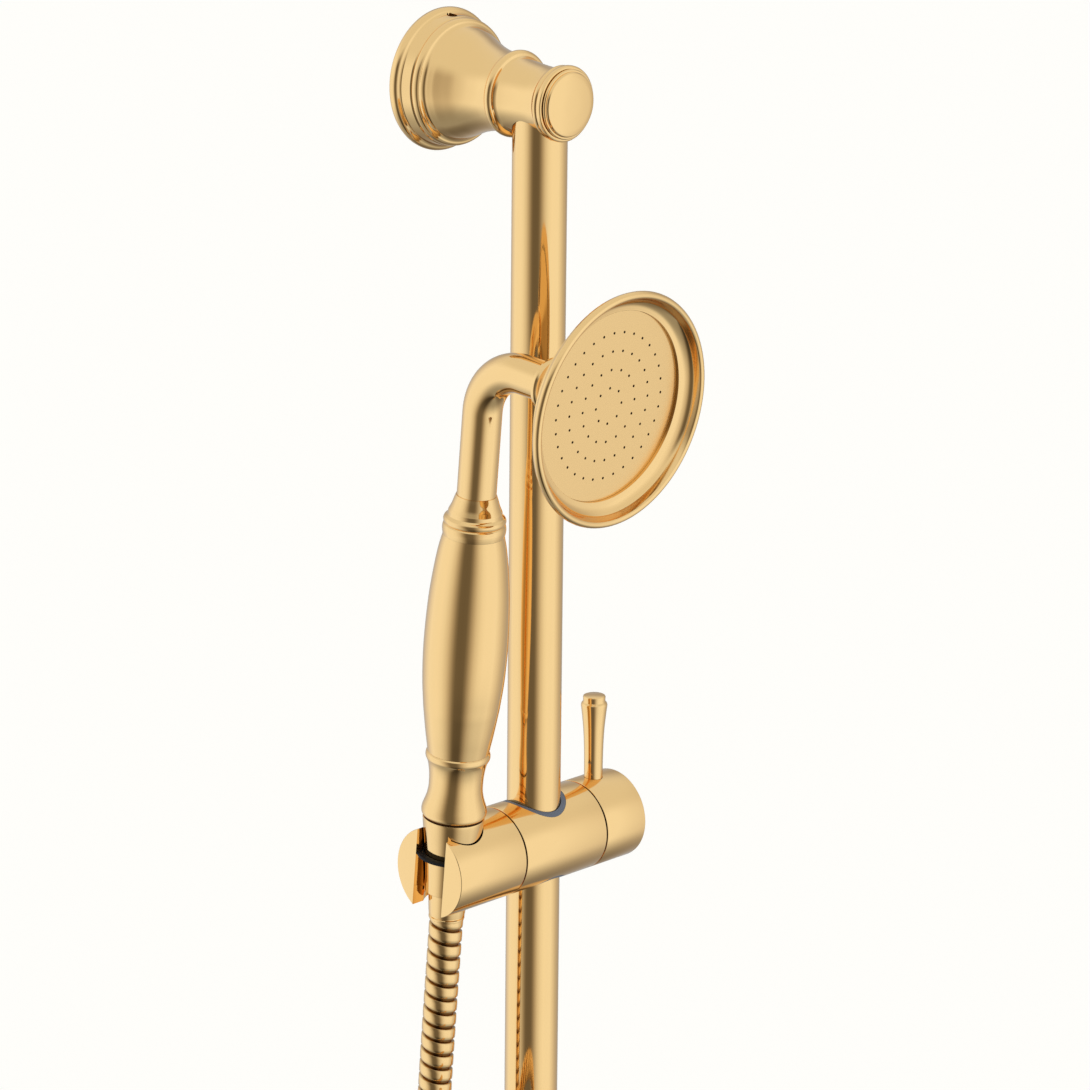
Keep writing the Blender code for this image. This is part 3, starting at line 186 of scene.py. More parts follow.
def turned(
    name: str, outline: Outline, place: Matrix, steps: Steps = Steps.MEDIUM
) -> bpy.types.Object:
    """Turns an outline round its axis into a closed solid.

    Args:
        name: the piece's name.
        outline: its half section. One that starts off the axis closes on itself.
        place: where its axis, as Z, lies in the frame, in metres.
        steps: how many sides it gets.

    Returns:
        The piece, at the origin, with its place in its mesh.
    """
    points = outline.points()
    count = steps.value
    shape = bmesh.new()
    rings: list[list[Any]] = []
    for radius, height in points:
        if radius < ON_AXIS:
            rings.append([shape.verts.new((0, 0, height))])
            continue
        angles = (2 * math.pi * k / count for k in range(count))
        rings.append([shape.verts.new((radius * math.cos(a), radius * math.sin(a), height)) for a in angles])
    pairs = list(zip(rings, rings[1:]))
    if len(rings[0]) > 1:
        pairs.append((rings[-1], rings[0]))
    for upper, lower in pairs:
        for k in range(count):
            after = (k + 1) % count
            corners = [
                upper[k % len(upper)],
                lower[k % len(lower)],
                lower[after % len(lower)],
                upper[after % len(upper)],
            ]
            shape.faces.new(dict.fromkeys(corners))
    return finished(name, shape, place @ Matrix.Scale(MM, 4))


def finished(name: str, shape: bmesh.types.BMesh, place: Matrix) -> bpy.types.Object:
    """Makes an object of a shape, with its place in its mesh.

    Args:
        name: the piece's name.
        shape: its mesh, which is freed.
        place: moves it into the frame.

    Returns:
        The object, at the origin.
    """
    bmesh.ops.transform(shape, matrix=place, verts=shape.verts)
    mesh = bpy.data.meshes.new(name)
    shape.to_mesh(mesh)
    shape.free()
    piece = bpy.data.objects.new(name, mesh)
    bpy.context.scene.collection.objects.link(piece)
    smooth(piece)
    return piece


def smooth(piece: bpy.types.Object) -> None:
    """Shades a piece smooth, with its creases sharp."""
    piece.data.shade_smooth()
    piece.data.set_sharp_from_angle(angle=CREASE)


def box(name: str, low: Sequence[float], high: Sequence[float], place: Matrix) -> bpy.types.Object:
    """Makes a plain box between two corners, for cutting.

    Args:
        name: its name.
        low: its lowest corner, in millimetres.
        high: its highest corner.
        place: where its own axes lie in the frame.

    Returns:
        The box.
    """
    shape = bmesh.new()
    bmesh.ops.create_cube(shape, size=1)
    span = Vector(high) - Vector(low)
    middle = (Vector(low) + Vector(high)) / 2
    stretched = Matrix.Translation(middle) @ Matrix.Diagonal((*span, 1))
    return finished(name, shape, place @ Matrix.Scale(MM, 4) @ stretched)


def rod(
    name: str,
    radius: float,
    low: float,
    high: float,
    place: Matrix,
    steps: Steps = Steps.MEDIUM,
) -> bpy.types.Object:
    """Makes a plain cylinder along its place's Z.

    Args:
        name: its name.
        radius: in millimetres.
        low: where it starts along the axis.
        high: where it ends.
        place: where its axis lies.
        steps: how many sides it gets.

    Returns:
        The cylinder.
    """
    return turned(name, Outline(0, high).to(radius, high).to(radius, low).to(0, low), place, steps)


def bake(piece: bpy.types.Object) -> bpy.types.Object:
    """Turns a piece's modifiers into its mesh.

    Args:
        piece: a mesh or curve object with modifiers on it.

    Returns:
        A mesh object of the same name without modifiers.
    """
    name = piece.name
    bpy.context.view_layer.update()
    graph = bpy.context.evaluated_depsgraph_get()
    mesh = bpy.data.meshes.new_from_object(piece.evaluated_get(graph))
    bpy.data.objects.remove(piece)
    mesh.name = name
    made = bpy.data.objects.new(name, mesh)
    bpy.context.scene.collection.objects.link(made)
    return made


def carve(piece: bpy.types.Object, *tools: bpy.types.Object, keep: bool = False) -> bpy.types.Object:
    """Cuts tools out of a piece, or keeps only what lies in them.

    Args:
        piece: what is cut.
        tools: the shapes that cut it, which are removed.
        keep: True to keep what they hold.

    Returns:
        The cut piece.
    """
    for tool in tools:
        cut = piece.modifiers.new(tool.name, "BOOLEAN")
        cut.operation = "INTERSECT" if keep else "DIFFERENCE"
        cut.object = tool
        cut.solver = "EXACT"
    made = bake(piece)
    for tool in tools:
        bpy.data.objects.remove(tool)
    smooth(made)
    return made


def middle_of(node: str) -> Vector:
    """Gives the middle of a node's box, in metres."""
    low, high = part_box(node)
    return (low + high) / 2


# ---------------------------------------------------------------- node trees


class Tree:
    """Builds a node tree, with its nodes laid out in the order they are added."""

    COLUMN_WIDTH = 180
    ROW_HEIGHT = 160
    ROWS = 3

    def __init__(self, tree: bpy.types.NodeTree) -> None:
        """Starts with a tree to add to.

        Args:
            tree: the tree.
        """
        self.tree = tree
        self.nodes = tree.nodes
        self._column = 0

    def add(self, kind: str, links: dict[Any, Any] | None = None, **settings: Any) -> bpy.types.Node:
        """Adds a node.

        Args:
            kind: the node's type.
            links: what each input takes: a socket, or a value.
            settings: properties of the node.

        Returns:
            The node.
        """
        node = self.nodes.new(kind)
        node.location = (self._column * self.COLUMN_WIDTH, -(self._column % self.ROWS) * self.ROW_HEIGHT)
        self._column += 1
        for name, value in settings.items():
            setattr(node, name, value)
        for key, value in (links or {}).items():
            if isinstance(value, bpy.types.NodeSocket):
                self.tree.links.new(value, node.inputs[key])
            else:
                node.inputs[key].default_value = value
        return node

    def math(self, operation: str, first: Any, second: Any = 0.0) -> bpy.types.NodeSocket:
        """Adds a Math node and gives its result."""
        return self.add("ShaderNodeMath", {0: first, 1: second}, operation=operation).outputs[0]

    def vector(self, operation: str, first: Any, second: Any) -> bpy.types.NodeSocket:
        """Adds a Vector Math node for two vectors and gives its result."""
        return self.add("ShaderNodeVectorMath", {0: first, 1: second}, operation=operation).outputs[0]

    def dot(self, first: Any, second: Any) -> bpy.types.NodeSocket:
        """Adds a Vector Math node and gives the dot product of two vectors."""
        inputs = {0: first, 1: second}
        return self.add("ShaderNodeVectorMath", inputs, operation="DOT_PRODUCT").outputs["Value"]

    def mixed(self, factor: Any, first: Any, second: Any) -> bpy.types.NodeSocket:
        """Adds a Mix node for two colours, which are its inputs 6 and 7, and gives its result."""
        inputs = {"Factor": factor, 6: first, 7: second}
        return self.add("ShaderNodeMix", inputs, data_type="RGBA").outputs[2]

    def scaled(self, vector: Any, factor: Any) -> bpy.types.NodeSocket:
        """Adds a Vector Math node that scales a vector and gives its result."""
        return self.add("ShaderNodeVectorMath", {0: vector, "Scale": factor}, operation="SCALE").outputs[0]


class Maker:
    """A Geometry Nodes tree with named inputs, which ends in Realize Instances and Set Material."""

    def __init__(self, name: str) -> None:
        """Starts a tree that takes and gives geometry.

        Args:
            name: the tree's name.
        """
        self.group = bpy.data.node_groups.new(name, "GeometryNodeTree")
        self.tree = Tree(self.group)
        self._names: dict[str, str] = {}
        self.group.interface.new_socket("Geometry", in_out="INPUT", socket_type="NodeSocketGeometry")
        self.group.interface.new_socket("Geometry", in_out="OUTPUT", socket_type="NodeSocketGeometry")
        self.source = self.tree.add("NodeGroupInput")

    def size(self, name: str, kind: str = "Float") -> bpy.types.NodeSocket:
        """Adds a named input.

        Args:
            name: the input's name.
            kind: Float, Int, Object or Material.

        Returns:
            Its socket inside the tree.
        """
        made = self.group.interface.new_socket(name, in_out="INPUT", socket_type=f"NodeSocket{kind}")
        self._names[name] = made.identifier
        return self.source.outputs[name]

    def close(self, geometry: bpy.types.NodeSocket, finish: bpy.types.NodeSocket) -> None:
        """Ends the tree: instances made real, then the material.

        Args:
            geometry: what the tree made.
            finish: the material's socket.
        """
        real = self.tree.add("GeometryNodeRealizeInstances", {"Geometry": geometry})
        dressed = self.tree.add("GeometryNodeSetMaterial", {"Geometry": real.outputs[0], "Material": finish})
        self.tree.add("NodeGroupOutput", {"Geometry": dressed.outputs[0]})

    def make(self, name: str, values: dict[str, Any], base: bpy.types.ID | None = None) -> bpy.types.Object:
        """Runs the tree and turns what it gives into a plain mesh.

        Args:
            name: the piece's name.
            values: a value for each named input.
            base: the mesh or curve data that the tree starts from.

        Returns:
            The piece, with no modifier left.
        """
        piece = bpy.data.objects.new(name, base or bpy.data.meshes.new(name))
        bpy.context.scene.collection.objects.link(piece)
        nodes = piece.modifiers.new(self.group.name, "NODES")
        nodes.node_group = self.group
        for label, value in values.items():
            nodes[self._names[label]] = value
        made = bake(piece)
        smooth(made)
        return made


# ---------------------------------------------------------------- finishes


DRIFT_SCALE = 38.0  # how many patches of a slightly different colour there are in a metre


class Grain(Enum):
    """Which way a finish's fine lines run, as the stretch of its pattern along each axis."""

    UPRIGHT = (1.0, 1.0, 0.03)
    ACROSS = (0.03, 1.0, 1.0)
    OUTWARDS = (1.0, 0.03, 1.0)
    EVEN = (1.0, 1.0, 1.0)


@dataclass(frozen=True)
class Finish:
    """A surface with fine variation in its colour, gloss and height.

    Args:
        name: the material's name.
        slot: the record's material slot; not used.
        colour: its base colour.
        shade: the colour that its variation runs to.
        metal: 1 for bare metal.
        roughness: lowest and highest roughness.
        fineness: how many grains there are in a metre.
        relief: how deep the grain is, in metres.
        grain: which way its lines run.
        gloss: specular level.
    """

    name: str
    slot: str
    colour: tuple[float, float, float]
    shade: tuple[float, float, float]
    metal: float = 1.0
    roughness: tuple[float, float] = (0.06, 0.1)
    fineness: float = 1800.0
    relief: float = 0.0000006
    grain: Grain = Grain.EVEN
    gloss: float = 0.5

    def material(self) -> bpy.types.Material:
        """Builds the material, once for each name.

        Returns:
            The material.
        """
        known = bpy.data.materials.get(self.name)
        if known:
            return known
        material = bpy.data.materials.new(self.name)
        material.use_nodes = True
        tree = Tree(material.node_tree)
        tree.nodes.clear()
        shader = tree.add(
            "ShaderNodeBsdfPrincipled",
            {"Metallic": self.metal, "Specular IOR Level": self.gloss},
        )
        self._colour(tree, shader)
        self._surface(tree, shader)
        tree.add("ShaderNodeOutputMaterial", {"Surface": shader.outputs[0]})
        material.diffuse_color = (*self.colour, 1)
        return material

    def _places(self, tree: Tree) -> bpy.types.NodeSocket:
        """Gives the surface's own coordinates, stretched along the grain."""
        own = tree.add("ShaderNodeTexCoord").outputs["Object"]
        return tree.add("ShaderNodeMapping", {"Vector": own, "Scale": self.grain.value}).outputs[0]

    def _colour(self, tree: Tree, shader: bpy.types.Node) -> None:
        """Lets the colour drift a little over the surface.

        Args:
            tree: the material's tree.
            shader: the shader that it feeds.
        """
        own = tree.add("ShaderNodeTexCoord").outputs["Object"]
        drift = tree.add("ShaderNodeTexNoise", {"Vector": own, "Scale": DRIFT_SCALE, "Detail": 3.0})
        colour = tree.mixed(drift.outputs[0], (*self.colour, 1), (*self.shade, 1))
        tree.tree.links.new(colour, shader.inputs["Base Color"])

    def _surface(self, tree: Tree, shader: bpy.types.Node) -> None:
        """Gives the surface its grain, in roughness and in height.

        Args:
            tree: the material's tree.
            shader: the shader that it feeds.
        """
        low, high = self.roughness
        grain = tree.add(
            "ShaderNodeTexNoise",
            {"Vector": self._places(tree), "Scale": self.fineness, "Detail": 2.0, "Roughness": 0.6},
        )
        spread = tree.add(
            "ShaderNodeMapRange",
            {"Value": grain.outputs[0], "From Min": 0.3, "From Max": 0.7, "To Min": low, "To Max": high},
        )
        tree.tree.links.new(spread.outputs[0], shader.inputs["Roughness"])
        relief = tree.add(
            "ShaderNodeBump",
            {"Height": grain.outputs[0], "Strength": 1.0, "Distance": self.relief},
        )
        tree.tree.links.new(relief.outputs[0], shader.inputs["Normal"])


@dataclass(frozen=True)
class HoseFinish(Finish):
    """Gold spiral strip with painted shade: the groove between two turns is coloured darker, by the piece's
    own groove value.
    """

    # the dark brown painted into the grooves as their shade
    groove: tuple[float, float, float] = (0.20, 0.085, 0.02)

    def _colour(self, tree: Tree, shader: bpy.types.Node) -> None:
        """Paints shade into the groove between the turns of the strip.

        Args:
            tree: the material's tree.
            shader: the shader that it feeds.
        """
        depth = tree.add("ShaderNodeAttribute", attribute_name="groove", attribute_type="GEOMETRY")
        colour = tree.mixed(depth.outputs["Fac"], (*self.colour, 1), (*self.groove, 1))
        tree.tree.links.new(colour, shader.inputs["Base Color"])


GOLD_LIGHT = (0.93, 0.59, 0.24)
GOLD_DEEP = (0.915, 0.575, 0.228)


def gold(grain: Grain) -> Finish:
    """Gives the brushed gold whose lines run one way."""
    name = f"brushed_gold_{grain.name.lower()}"
    return Finish(name, "brushed_gold", GOLD_LIGHT, GOLD_DEEP, grain=grain)


# the hose's gold, with painted shade in the grooves between its turns
HOSE_GOLD = HoseFinish("gold_spiral_painted_groove_shade", "metal_hose", GOLD_LIGHT, GOLD_DEEP, roughness=(0.07, 0.12))
PLATE_GOLD = Finish(
    "matt_gold_plate",
    "brushed_gold",
    GOLD_LIGHT,
    GOLD_DEEP,
    roughness=(0.2, 0.28),
    fineness=1500.0,
    relief=0.000002,
)
BRASS = Finish("machined_brass", "plain_brass", (0.72, 0.52, 0.24), (0.66, 0.46, 0.2), roughness=(0.25, 0.4))
STEEL = Finish("zinc_steel", "steel", (0.55, 0.56, 0.58), (0.48, 0.49, 0.51), roughness=(0.28, 0.42))
DARK_STEEL = Finish("dark_set_screw", "steel", (0.05, 0.05, 0.055), (0.03, 0.03, 0.03), roughness=(0.4, 0.5))
GREY = Finish(
    "grey_liner",
    "grey_plastic",
    (0.155, 0.17, 0.2),
    (0.13, 0.145, 0.17),
    metal=0.0,
    roughness=(0.42, 0.55),
    fineness=900.0,
)
WHITE = Finish(
    "white_liner",
    "white_plastic",
    (0.78, 0.78, 0.75),
    (0.7, 0.7, 0.68),
    metal=0.0,
    roughness=(0.4, 0.5),
    fineness=700.0,
)
# painted shadow: near-black colour for the ring that fills the dark gap between the conical nut and the lower
# collar
GAP_SHADOW_PAINT = Finish(
    "painted_gap_shadow",
    "plain_brass",
    (0.09, 0.04, 0.012),
    (0.06, 0.026, 0.01),
    roughness=(0.5, 0.6),
)
RUBBER = Finish(
    "black_rubber",
    "rubber",
    (0.006, 0.006, 0.006),
    (0.01, 0.01, 0.01),
    metal=0.0,
    roughness=(0.5, 0.65),
    fineness=900.0,
    gloss=0.15,
)
STRAP = Finish(
    "woven_strap",
    "strap",
    (0.03, 0.03, 0.034),
    (0.055, 0.055, 0.06),
    metal=0.0,
    roughness=(0.75, 0.9),
    fineness=1400.0,
    relief=0.00015,
)

NODE_FINISHES = {
    "brushed_gold": gold(Grain.EVEN),
    "metal_hose": HOSE_GOLD,
    "plain_brass": BRASS,
    "steel": STEEL,
    "grey_plastic": GREY,
    "white_plastic": WHITE,
    "rubber": RUBBER,
    "strap": STRAP,
}


def dress(piece: bpy.types.Object, finish: Finish) -> None:
    """Gives a piece its finish.

    Args:
        piece: what is dressed.
        finish: what it is covered in.
    """
    piece.data.materials.clear()
    piece.data.materials.append(finish.material())


def fit(piece: bpy.types.Object, body: str, finish: Finish, *nodes: str) -> bpy.types.Object:
    """Dresses a piece, sets it on its body and lets it stand for its nodes.

    Args:
        piece: the piece, in place.
        body: the body that it moves with.
        finish: what it is covered in.
        nodes: the plain solids that it stands for.

    Returns:
        The piece.
    """
    dress(piece, finish)
    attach(piece, body)
    if nodes:
        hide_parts(*nodes)
    log.info("%s rides on %s", piece.name, body)
    return piece


# ---------------------------------------------------------------- brackets and rail


@dataclass
class WallBracket:
    """A bell-shaped flange, the post that holds the rail, and its cap. Heights are from the wall."""

    side: str
    rail_towards: int  # -1 where the rail leaves it downwards, 1 upwards
    rail_radius: float = 11.0
    rail_height: float = 56.0
    rail_past: float = 5.0
    socket_play: float = 0.15
    screw_height: float = 6.3
    screw_hole: float = 2.1
    hole_ends: Point = (20.0, 32.0)  # how far from the axis the set screw's hole is cut
    body: str = "wall_and_rail"

    def place(self) -> Matrix:
        """Gives the frame at the wall, with Z out of it and Y up.

        Returns:
            The frame.
        """
        low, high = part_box(f"{self.side}_wall_plate")
        middle = (low + high) / 2
        axes = Matrix(((1, 0, 0), (0, 0, -1), (0, 1, 0))).to_4x4()
        return Matrix.Translation((middle.x, high.y, middle.z)) @ axes

    def flange(self) -> bpy.types.Object:
        """Turns the bell, its ring, step and rim, and drills the set-screw hole.

        Returns:
            The flange.
        """
        bell = Outline(8.3, 40.6).to(15.7, 40.6, 0.3)
        bell.curve((15.95, 36), (16.75, 31), (18.1, 26), (19.9, 21.3), (21.6, 17.2))
        bell.curve((22.3, 15.2), (22.8, 13.9), (23.7, 13.1), (24.6, 12.75))
        bell.curve((25.35, 12.1), (25.75, 11.1), (25.8, 10.2), (25.55, 9.55)).to(26.0, 9.1, 0.2)
        bell.to(26.55, 4.7, 0.3).to(27.2, 4.2).curve((28.1, 3.7), (28.75, 2.9), (28.98, 1.8), (28.8, 0.6))
        bell.to(28.5, 0).to(22.6, 0).to(22.6, 11.6).to(13.3, 38.4).to(8.3, 38.4)
        shell = turned(f"{self.side}_bell", bell, self.place(), Steps.LARGE)
        outwards = Matrix.Rotation(-math.pi / 2 * self.hole_way(), 4, "X")
        screw = self.place() @ Matrix.Translation((0, 0, self.screw_height * MM)) @ outwards
        drill = rod("drill", self.screw_hole, *self.hole_ends, screw, Steps.SMALL)
        return carve(shell, drill)

    def hole_way(self) -> int:
        """Gives 1 where the set-screw hole is above the axis, and -1 where it is below."""
        return 1 if middle_of(f"{self.side}_grub_screw").z > middle_of(f"{self.side}_wall_plate").z else -1

    def post(self) -> bpy.types.Object:
        """Turns the bead, neck and collar, and bores the rail's socket.

        Returns:
            The post.
        """
        neck = Outline(0, 68.3).to(9, 68.3).to(9, 70.8).to(14.5, 70.8, 0.2)
        neck.curve((15.05, 70.45), (15.25, 69.6), (15.15, 68.7), (14.8, 68.1)).to(14.35, 67.75)
        neck.curve((14.75, 67.2), (14.85, 66.4), (14.5, 65.6), (13.9, 65.1))
        neck.curve((13.35, 64.2), (13.2, 62.4), (13.2, 59), (13.6, 53.5), (14.15, 49), (14.75, 45.8))
        neck.to(15.3, 44.9).curve((16.5, 44.5), (17.3, 43.6), (17.4, 42.4), (16.9, 41.4)).to(16.2, 40.9, 0.1)
        neck.to(8, 40.9).to(8, 23.6).to(0, 23.6)
        solid = turned(f"{self.side}_neck", neck, self.place(), Steps.LARGE)
        way = Matrix.Rotation(-math.pi / 2 * self.rail_towards, 4, "X")
        along = Matrix.Translation((0, 0, self.rail_height * MM)) @ way
        radius = self.rail_radius + self.socket_play
        socket = rod("socket", radius, -self.rail_past - GAP, REACH, self.place() @ along)
        return carve(solid, socket)

    def cap(self) -> bpy.types.Object:
        """Turns the stepped cap with its slightly domed face.

        Returns:
            The cap.
        """
        face = Outline(0, 73.9).curve((5, 73.82), (10, 73.5), (11.8, 73.2))
        face.curve((12.55, 72.95), (12.95, 72.4))
        face.to(13.0, 72.0).to(13.55, 72.0, 0.25).curve((13.9, 71.6), (13.95, 71.1))
        face.to(8.7, 71.1).to(8.7, 68.8).to(0, 68.8)
        return turned(f"{self.side}_cap", face, self.place(), Steps.LARGE)

    def build(self) -> None:
        """Makes the bracket's pieces and sets them on the wall."""
        finish = gold(Grain.OUTWARDS)
        fit(self.flange(), self.body, finish, f"{self.side}_flange")
        fit(self.post(), self.body, finish, f"{self.side}_post")
        fit(self.cap(), self.body, gold(Grain.EVEN), f"{self.side}_end_cap")


@dataclass
class Rail:
    """The tube that the slider runs on."""

    wall: float = 1.5
    edge: float = 0.3
    body: str = "wall_and_rail"

    def build(self) -> None:
        """Makes the tube at the length and radius of its node."""
        low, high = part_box("rail_tube")
        radius = (high.x - low.x) / 2 / MM
        top, bottom = high.z / MM, low.z / MM
        section = Outline(radius, top, self.edge).to(radius, bottom, self.edge)
        section.to(radius - self.wall, bottom).to(radius - self.wall, top)
        place = Matrix.Translation(((low.x + high.x) / 2, (low.y + high.y) / 2, 0))
        fit(turned("rail", section, place, Steps.LARGE), self.body, gold(Grain.UPRIGHT), "rail_tube")


# ---------------------------------------------------------------- slider


@dataclass
class Slider:
    """The barrel's middle and right end, its liner and its lever. The barrel's axis is X."""

    liner_radius: float = 13.2
    rail_bore: float = 11.3
    edge: float = 0.35
    knob_edge: float = 0.8
    hub: float = 3.0  # the left end of the body's node, out of sight in the holder
    lever_offset: float = 10.1
    lever_seat_radius: float = 4.0
    lever_seat_height: float = 17.7
    barrel_radius: float = field(init=False)
    centre: Vector = field(init=False)

    def __post_init__(self) -> None:
        """Reads the barrel's size and place from the frame."""
        low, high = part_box("clamp_knob")
        self.barrel_radius = (high.z - low.z) / 2 / MM
        self.centre = Vector((middle_of("rail_tube").x, (low.y + high.y) / 2, (low.z + high.z) / 2))

    def along(self) -> Matrix:
        """Gives the frame on the barrel's axis, with Z to the right and Y up."""
        axes = Matrix(((0, 0, 1), (1, 0, 0), (0, 1, 0))).to_4x4()
        return Matrix.Translation(self.centre) @ axes

    def upright(self, offset: float = 0.0) -> Matrix:
        """Gives the frame on an upright axis, offset millimetres right of the rail."""
        return Matrix.Translation(self.centre + Vector((offset * MM, 0, 0)))

    def ends_of(self, node: str) -> tuple[float, float]:
        """Gives a node's left and right ends along the barrel, in millimetres."""
        low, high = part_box(node)
        return (low.x - self.centre.x) / MM, (high.x - self.centre.x) / MM

    def barrel(
        self, name: str, start: float, end: float, start_edge: float, end_edge: float
    ) -> bpy.types.Object:
        """Turns a length of the barrel.

        Args:
            name: the piece's name.
            start: its left end.
            end: its right end.
            start_edge: easing of its left edge.
            end_edge: easing of its right edge.

        Returns:
            The piece.
        """
        radius = self.barrel_radius
        section = Outline(0, end).to(radius, end, end_edge).to(radius, start, start_edge).to(0, start)
        return turned(name, section, self.along(), Steps.LARGE)

    def middle(self) -> bpy.types.Object:
        """Makes the middle of the barrel, bored for the liner.

        Returns:
            The middle.
        """
        start, end = self.ends_of("slider_body")
        piece = self.barrel("slider_middle", start + self.hub, end, self.edge, self.edge)
        return carve(piece, rod("bore", self.liner_radius + SNUG, -REACH, REACH, self.upright(), Steps.LARGE))

    def liner(self) -> bpy.types.Object:
        """Makes the liner, trimmed to the barrel's round.

        Returns:
            The liner.
        """
        reach = self.barrel_radius + OVERRUN
        section = Outline(self.liner_radius, reach).to(self.liner_radius, -reach).to(self.rail_bore, -reach)
        section.to(self.rail_bore, reach)
        piece = turned("rail_liner", section, self.upright(), Steps.LARGE)
        shape = rod("shape", self.barrel_radius - SNUG / 2, -REACH, REACH, self.along(), Steps.LARGE)
        return carve(piece, shape, keep=True)

    def knob(self) -> bpy.types.Object:
        """Makes the clamp's end of the barrel, with a seat for the lever.

        Returns:
            The clamp's end.
        """
        start, end = self.ends_of("clamp_knob")
        piece = self.barrel("clamp_end", start, end, self.edge, self.knob_edge)
        lever = self.upright(start + self.lever_offset)
        seat = rod("seat", self.lever_seat_radius, self.lever_seat_height, REACH, lever, Steps.SMALL)
        return carve(piece, seat)

    def lever(self) -> bpy.types.Object:
        """Turns the lever, which swells towards its shouldered and domed tip.

        Returns:
            The lever.
        """
        base, top = self.barrel_radius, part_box("lever")[1].z / MM - self.centre.z / MM
        tip = Outline(0, top).to(4.0, top - 0.05)
        tip.curve((4.45, top - 0.25), (4.68, top - 0.75)).to(4.58, top - 2.0)
        tip.curve((4.72, top - 2.7), (5.2, top - 3.3), (5.47, top - 4.0), (5.45, top - 4.6))
        tip.curve(
            (4.95, top - 8.8), (4.4, top - 14.5), (4.08, top - 20.5), (3.92, top - 27), (3.85, base + 1)
        )
        tip.to(3.85, 18.0).to(0, 18.0)
        start = self.ends_of("clamp_knob")[0]
        return turned("lever_arm", tip, self.upright(start + self.lever_offset), Steps.MEDIUM)

    def build(self) -> None:
        """Makes the slider's pieces and sets them on their bodies."""
        fit(self.middle(), "slider", gold(Grain.ACROSS), "slider_body")
        fit(self.liner(), "slider", GREY, "body_liner")
        fit(self.knob(), "clamp", gold(Grain.ACROSS), "clamp_knob")
        fit(self.lever(), "clamp", gold(Grain.UPRIGHT), "lever")


# ---------------------------------------------------------------- holder and hose end


@dataclass
class Seat:
    """The leaning axis that the handset stands on. Heights along it start at the barrel's axis."""

    lean: float = math.radians(5)
    ring_height: float = 6.0

    def axis(self) -> Vector:
        """Gives the axis's direction, upwards."""
        return Vector((0, -math.sin(self.lean), math.cos(self.lean)))

    def place(self, height: float = 0.0) -> Matrix:
        """Gives the frame on the axis at a height in millimetres, with Z along it."""
        start = middle_of("seat_ring") - self.axis() * (self.ring_height - height) * MM
        return Matrix.Translation(start) @ Matrix.Rotation(self.lean, 4, "X")


@dataclass
class Holder:
    """The tilting end of the barrel, with its conical seat, its slot and its rubber ring."""

    slider: Slider
    seat: Seat
    slot_width: float = 16.6
    ring_inner: float = 10.9
    ring_outer: float = 13.9
    ring_half: float = 0.6
    end_edge: float = 0.5
    reach: float = 24.0

    def shell(self) -> bpy.types.Object:
        """Makes the barrel's left end and cuts its seat, slot and groove.

        Returns:
            The holder.
        """
        start, end = self.slider.ends_of("holder")
        piece = self.slider.barrel("tilting_end", start, end, self.end_edge, self.slider.edge)
        reach = self.reach
        cone = Outline(0, reach).to(13.1, reach).to(9.95, -10.3).to(9.95, -reach).to(0, -reach)
        seat = turned("seat", cone, self.seat.place(), Steps.LARGE)
        half = self.slot_width / 2
        slot = box("slot", (-REACH, -half, -reach), (0, half, reach), self.seat.place())
        low = self.seat.ring_height - self.ring_half - SNUG
        high = self.seat.ring_height + self.ring_half + SNUG
        groove = rod("groove", self.ring_outer + SNUG, low, high, self.seat.place(), Steps.LARGE)
        return carve(piece, seat, slot, groove)

    def ring(self) -> bpy.types.Object:
        """Makes the flat ring, eased all round.

        Returns:
            The ring.
        """
        low, high = self.seat.ring_height - self.ring_half, self.seat.ring_height + self.ring_half
        section = Outline(self.ring_outer, high, 0.4).to(self.ring_outer, low, 0.4)
        section.to(self.ring_inner, low, 0.3).to(self.ring_inner, high, 0.3)
        return turned("rubber_ring", section, self.seat.place(), Steps.LARGE)

    def build(self) -> None:
        """Makes the holder and its ring."""
        fit(self.shell(), "holder", gold(Grain.ACROSS), "holder")
        fit(self.ring(), "holder", RUBBER, "seat_ring")


@dataclass
class HoseEnd:
    """The conical nut in the holder and the sleeve that grips the hose under it."""

    seat: Seat

    def nut(self) -> bpy.types.Object:
        """Turns the slightly flared conical nut.

        Returns:
            The nut.
        """
        cone = Outline(10.3, 22.5).to(12.5, 22.5, 0.3)
        cone.curve((12.5, 21.6), (12.1, 18), (11.4, 12.5), (10.75, 6.9))
        cone.curve((10.2, 0.5), (9.8, -5.5), (9.6, -9.6)).to(9.58, -10.3, 0.3)
        cone.to(6.8, -10.3).to(6.8, 9.3).to(10.3, 9.3)
        return turned("conical_nut", cone, self.seat.place(), Steps.LARGE)

    def sleeve(self) -> bpy.types.Object:
        """Turns the tapered sleeve that the hose leaves by.

        Returns:
            The sleeve.
        """
        taper = Outline(4.9, -10.4).to(8.0, -10.4, 0.2).curve((7.95, -12.5), (7.75, -16), (7.5, -19))
        taper.to(7.35, -20.3).to(6.95, -20.6).to(6.95, -21.0).to(7.3, -21.3)
        taper.to(7.3, -22.3, 0.3).to(4.9, -22.3)
        return turned("hose_ferrule", taper, self.seat.place(), Steps.MEDIUM)

    def build(self) -> None:
        """Makes the nut and the sleeve."""
        fit(self.nut(), "hose_end", gold(Grain.UPRIGHT), "cone_nut")
        fit(self.sleeve(), "hose_end", gold(Grain.UPRIGHT), "hose_sleeve")


# ---------------------------------------------------------------- handset


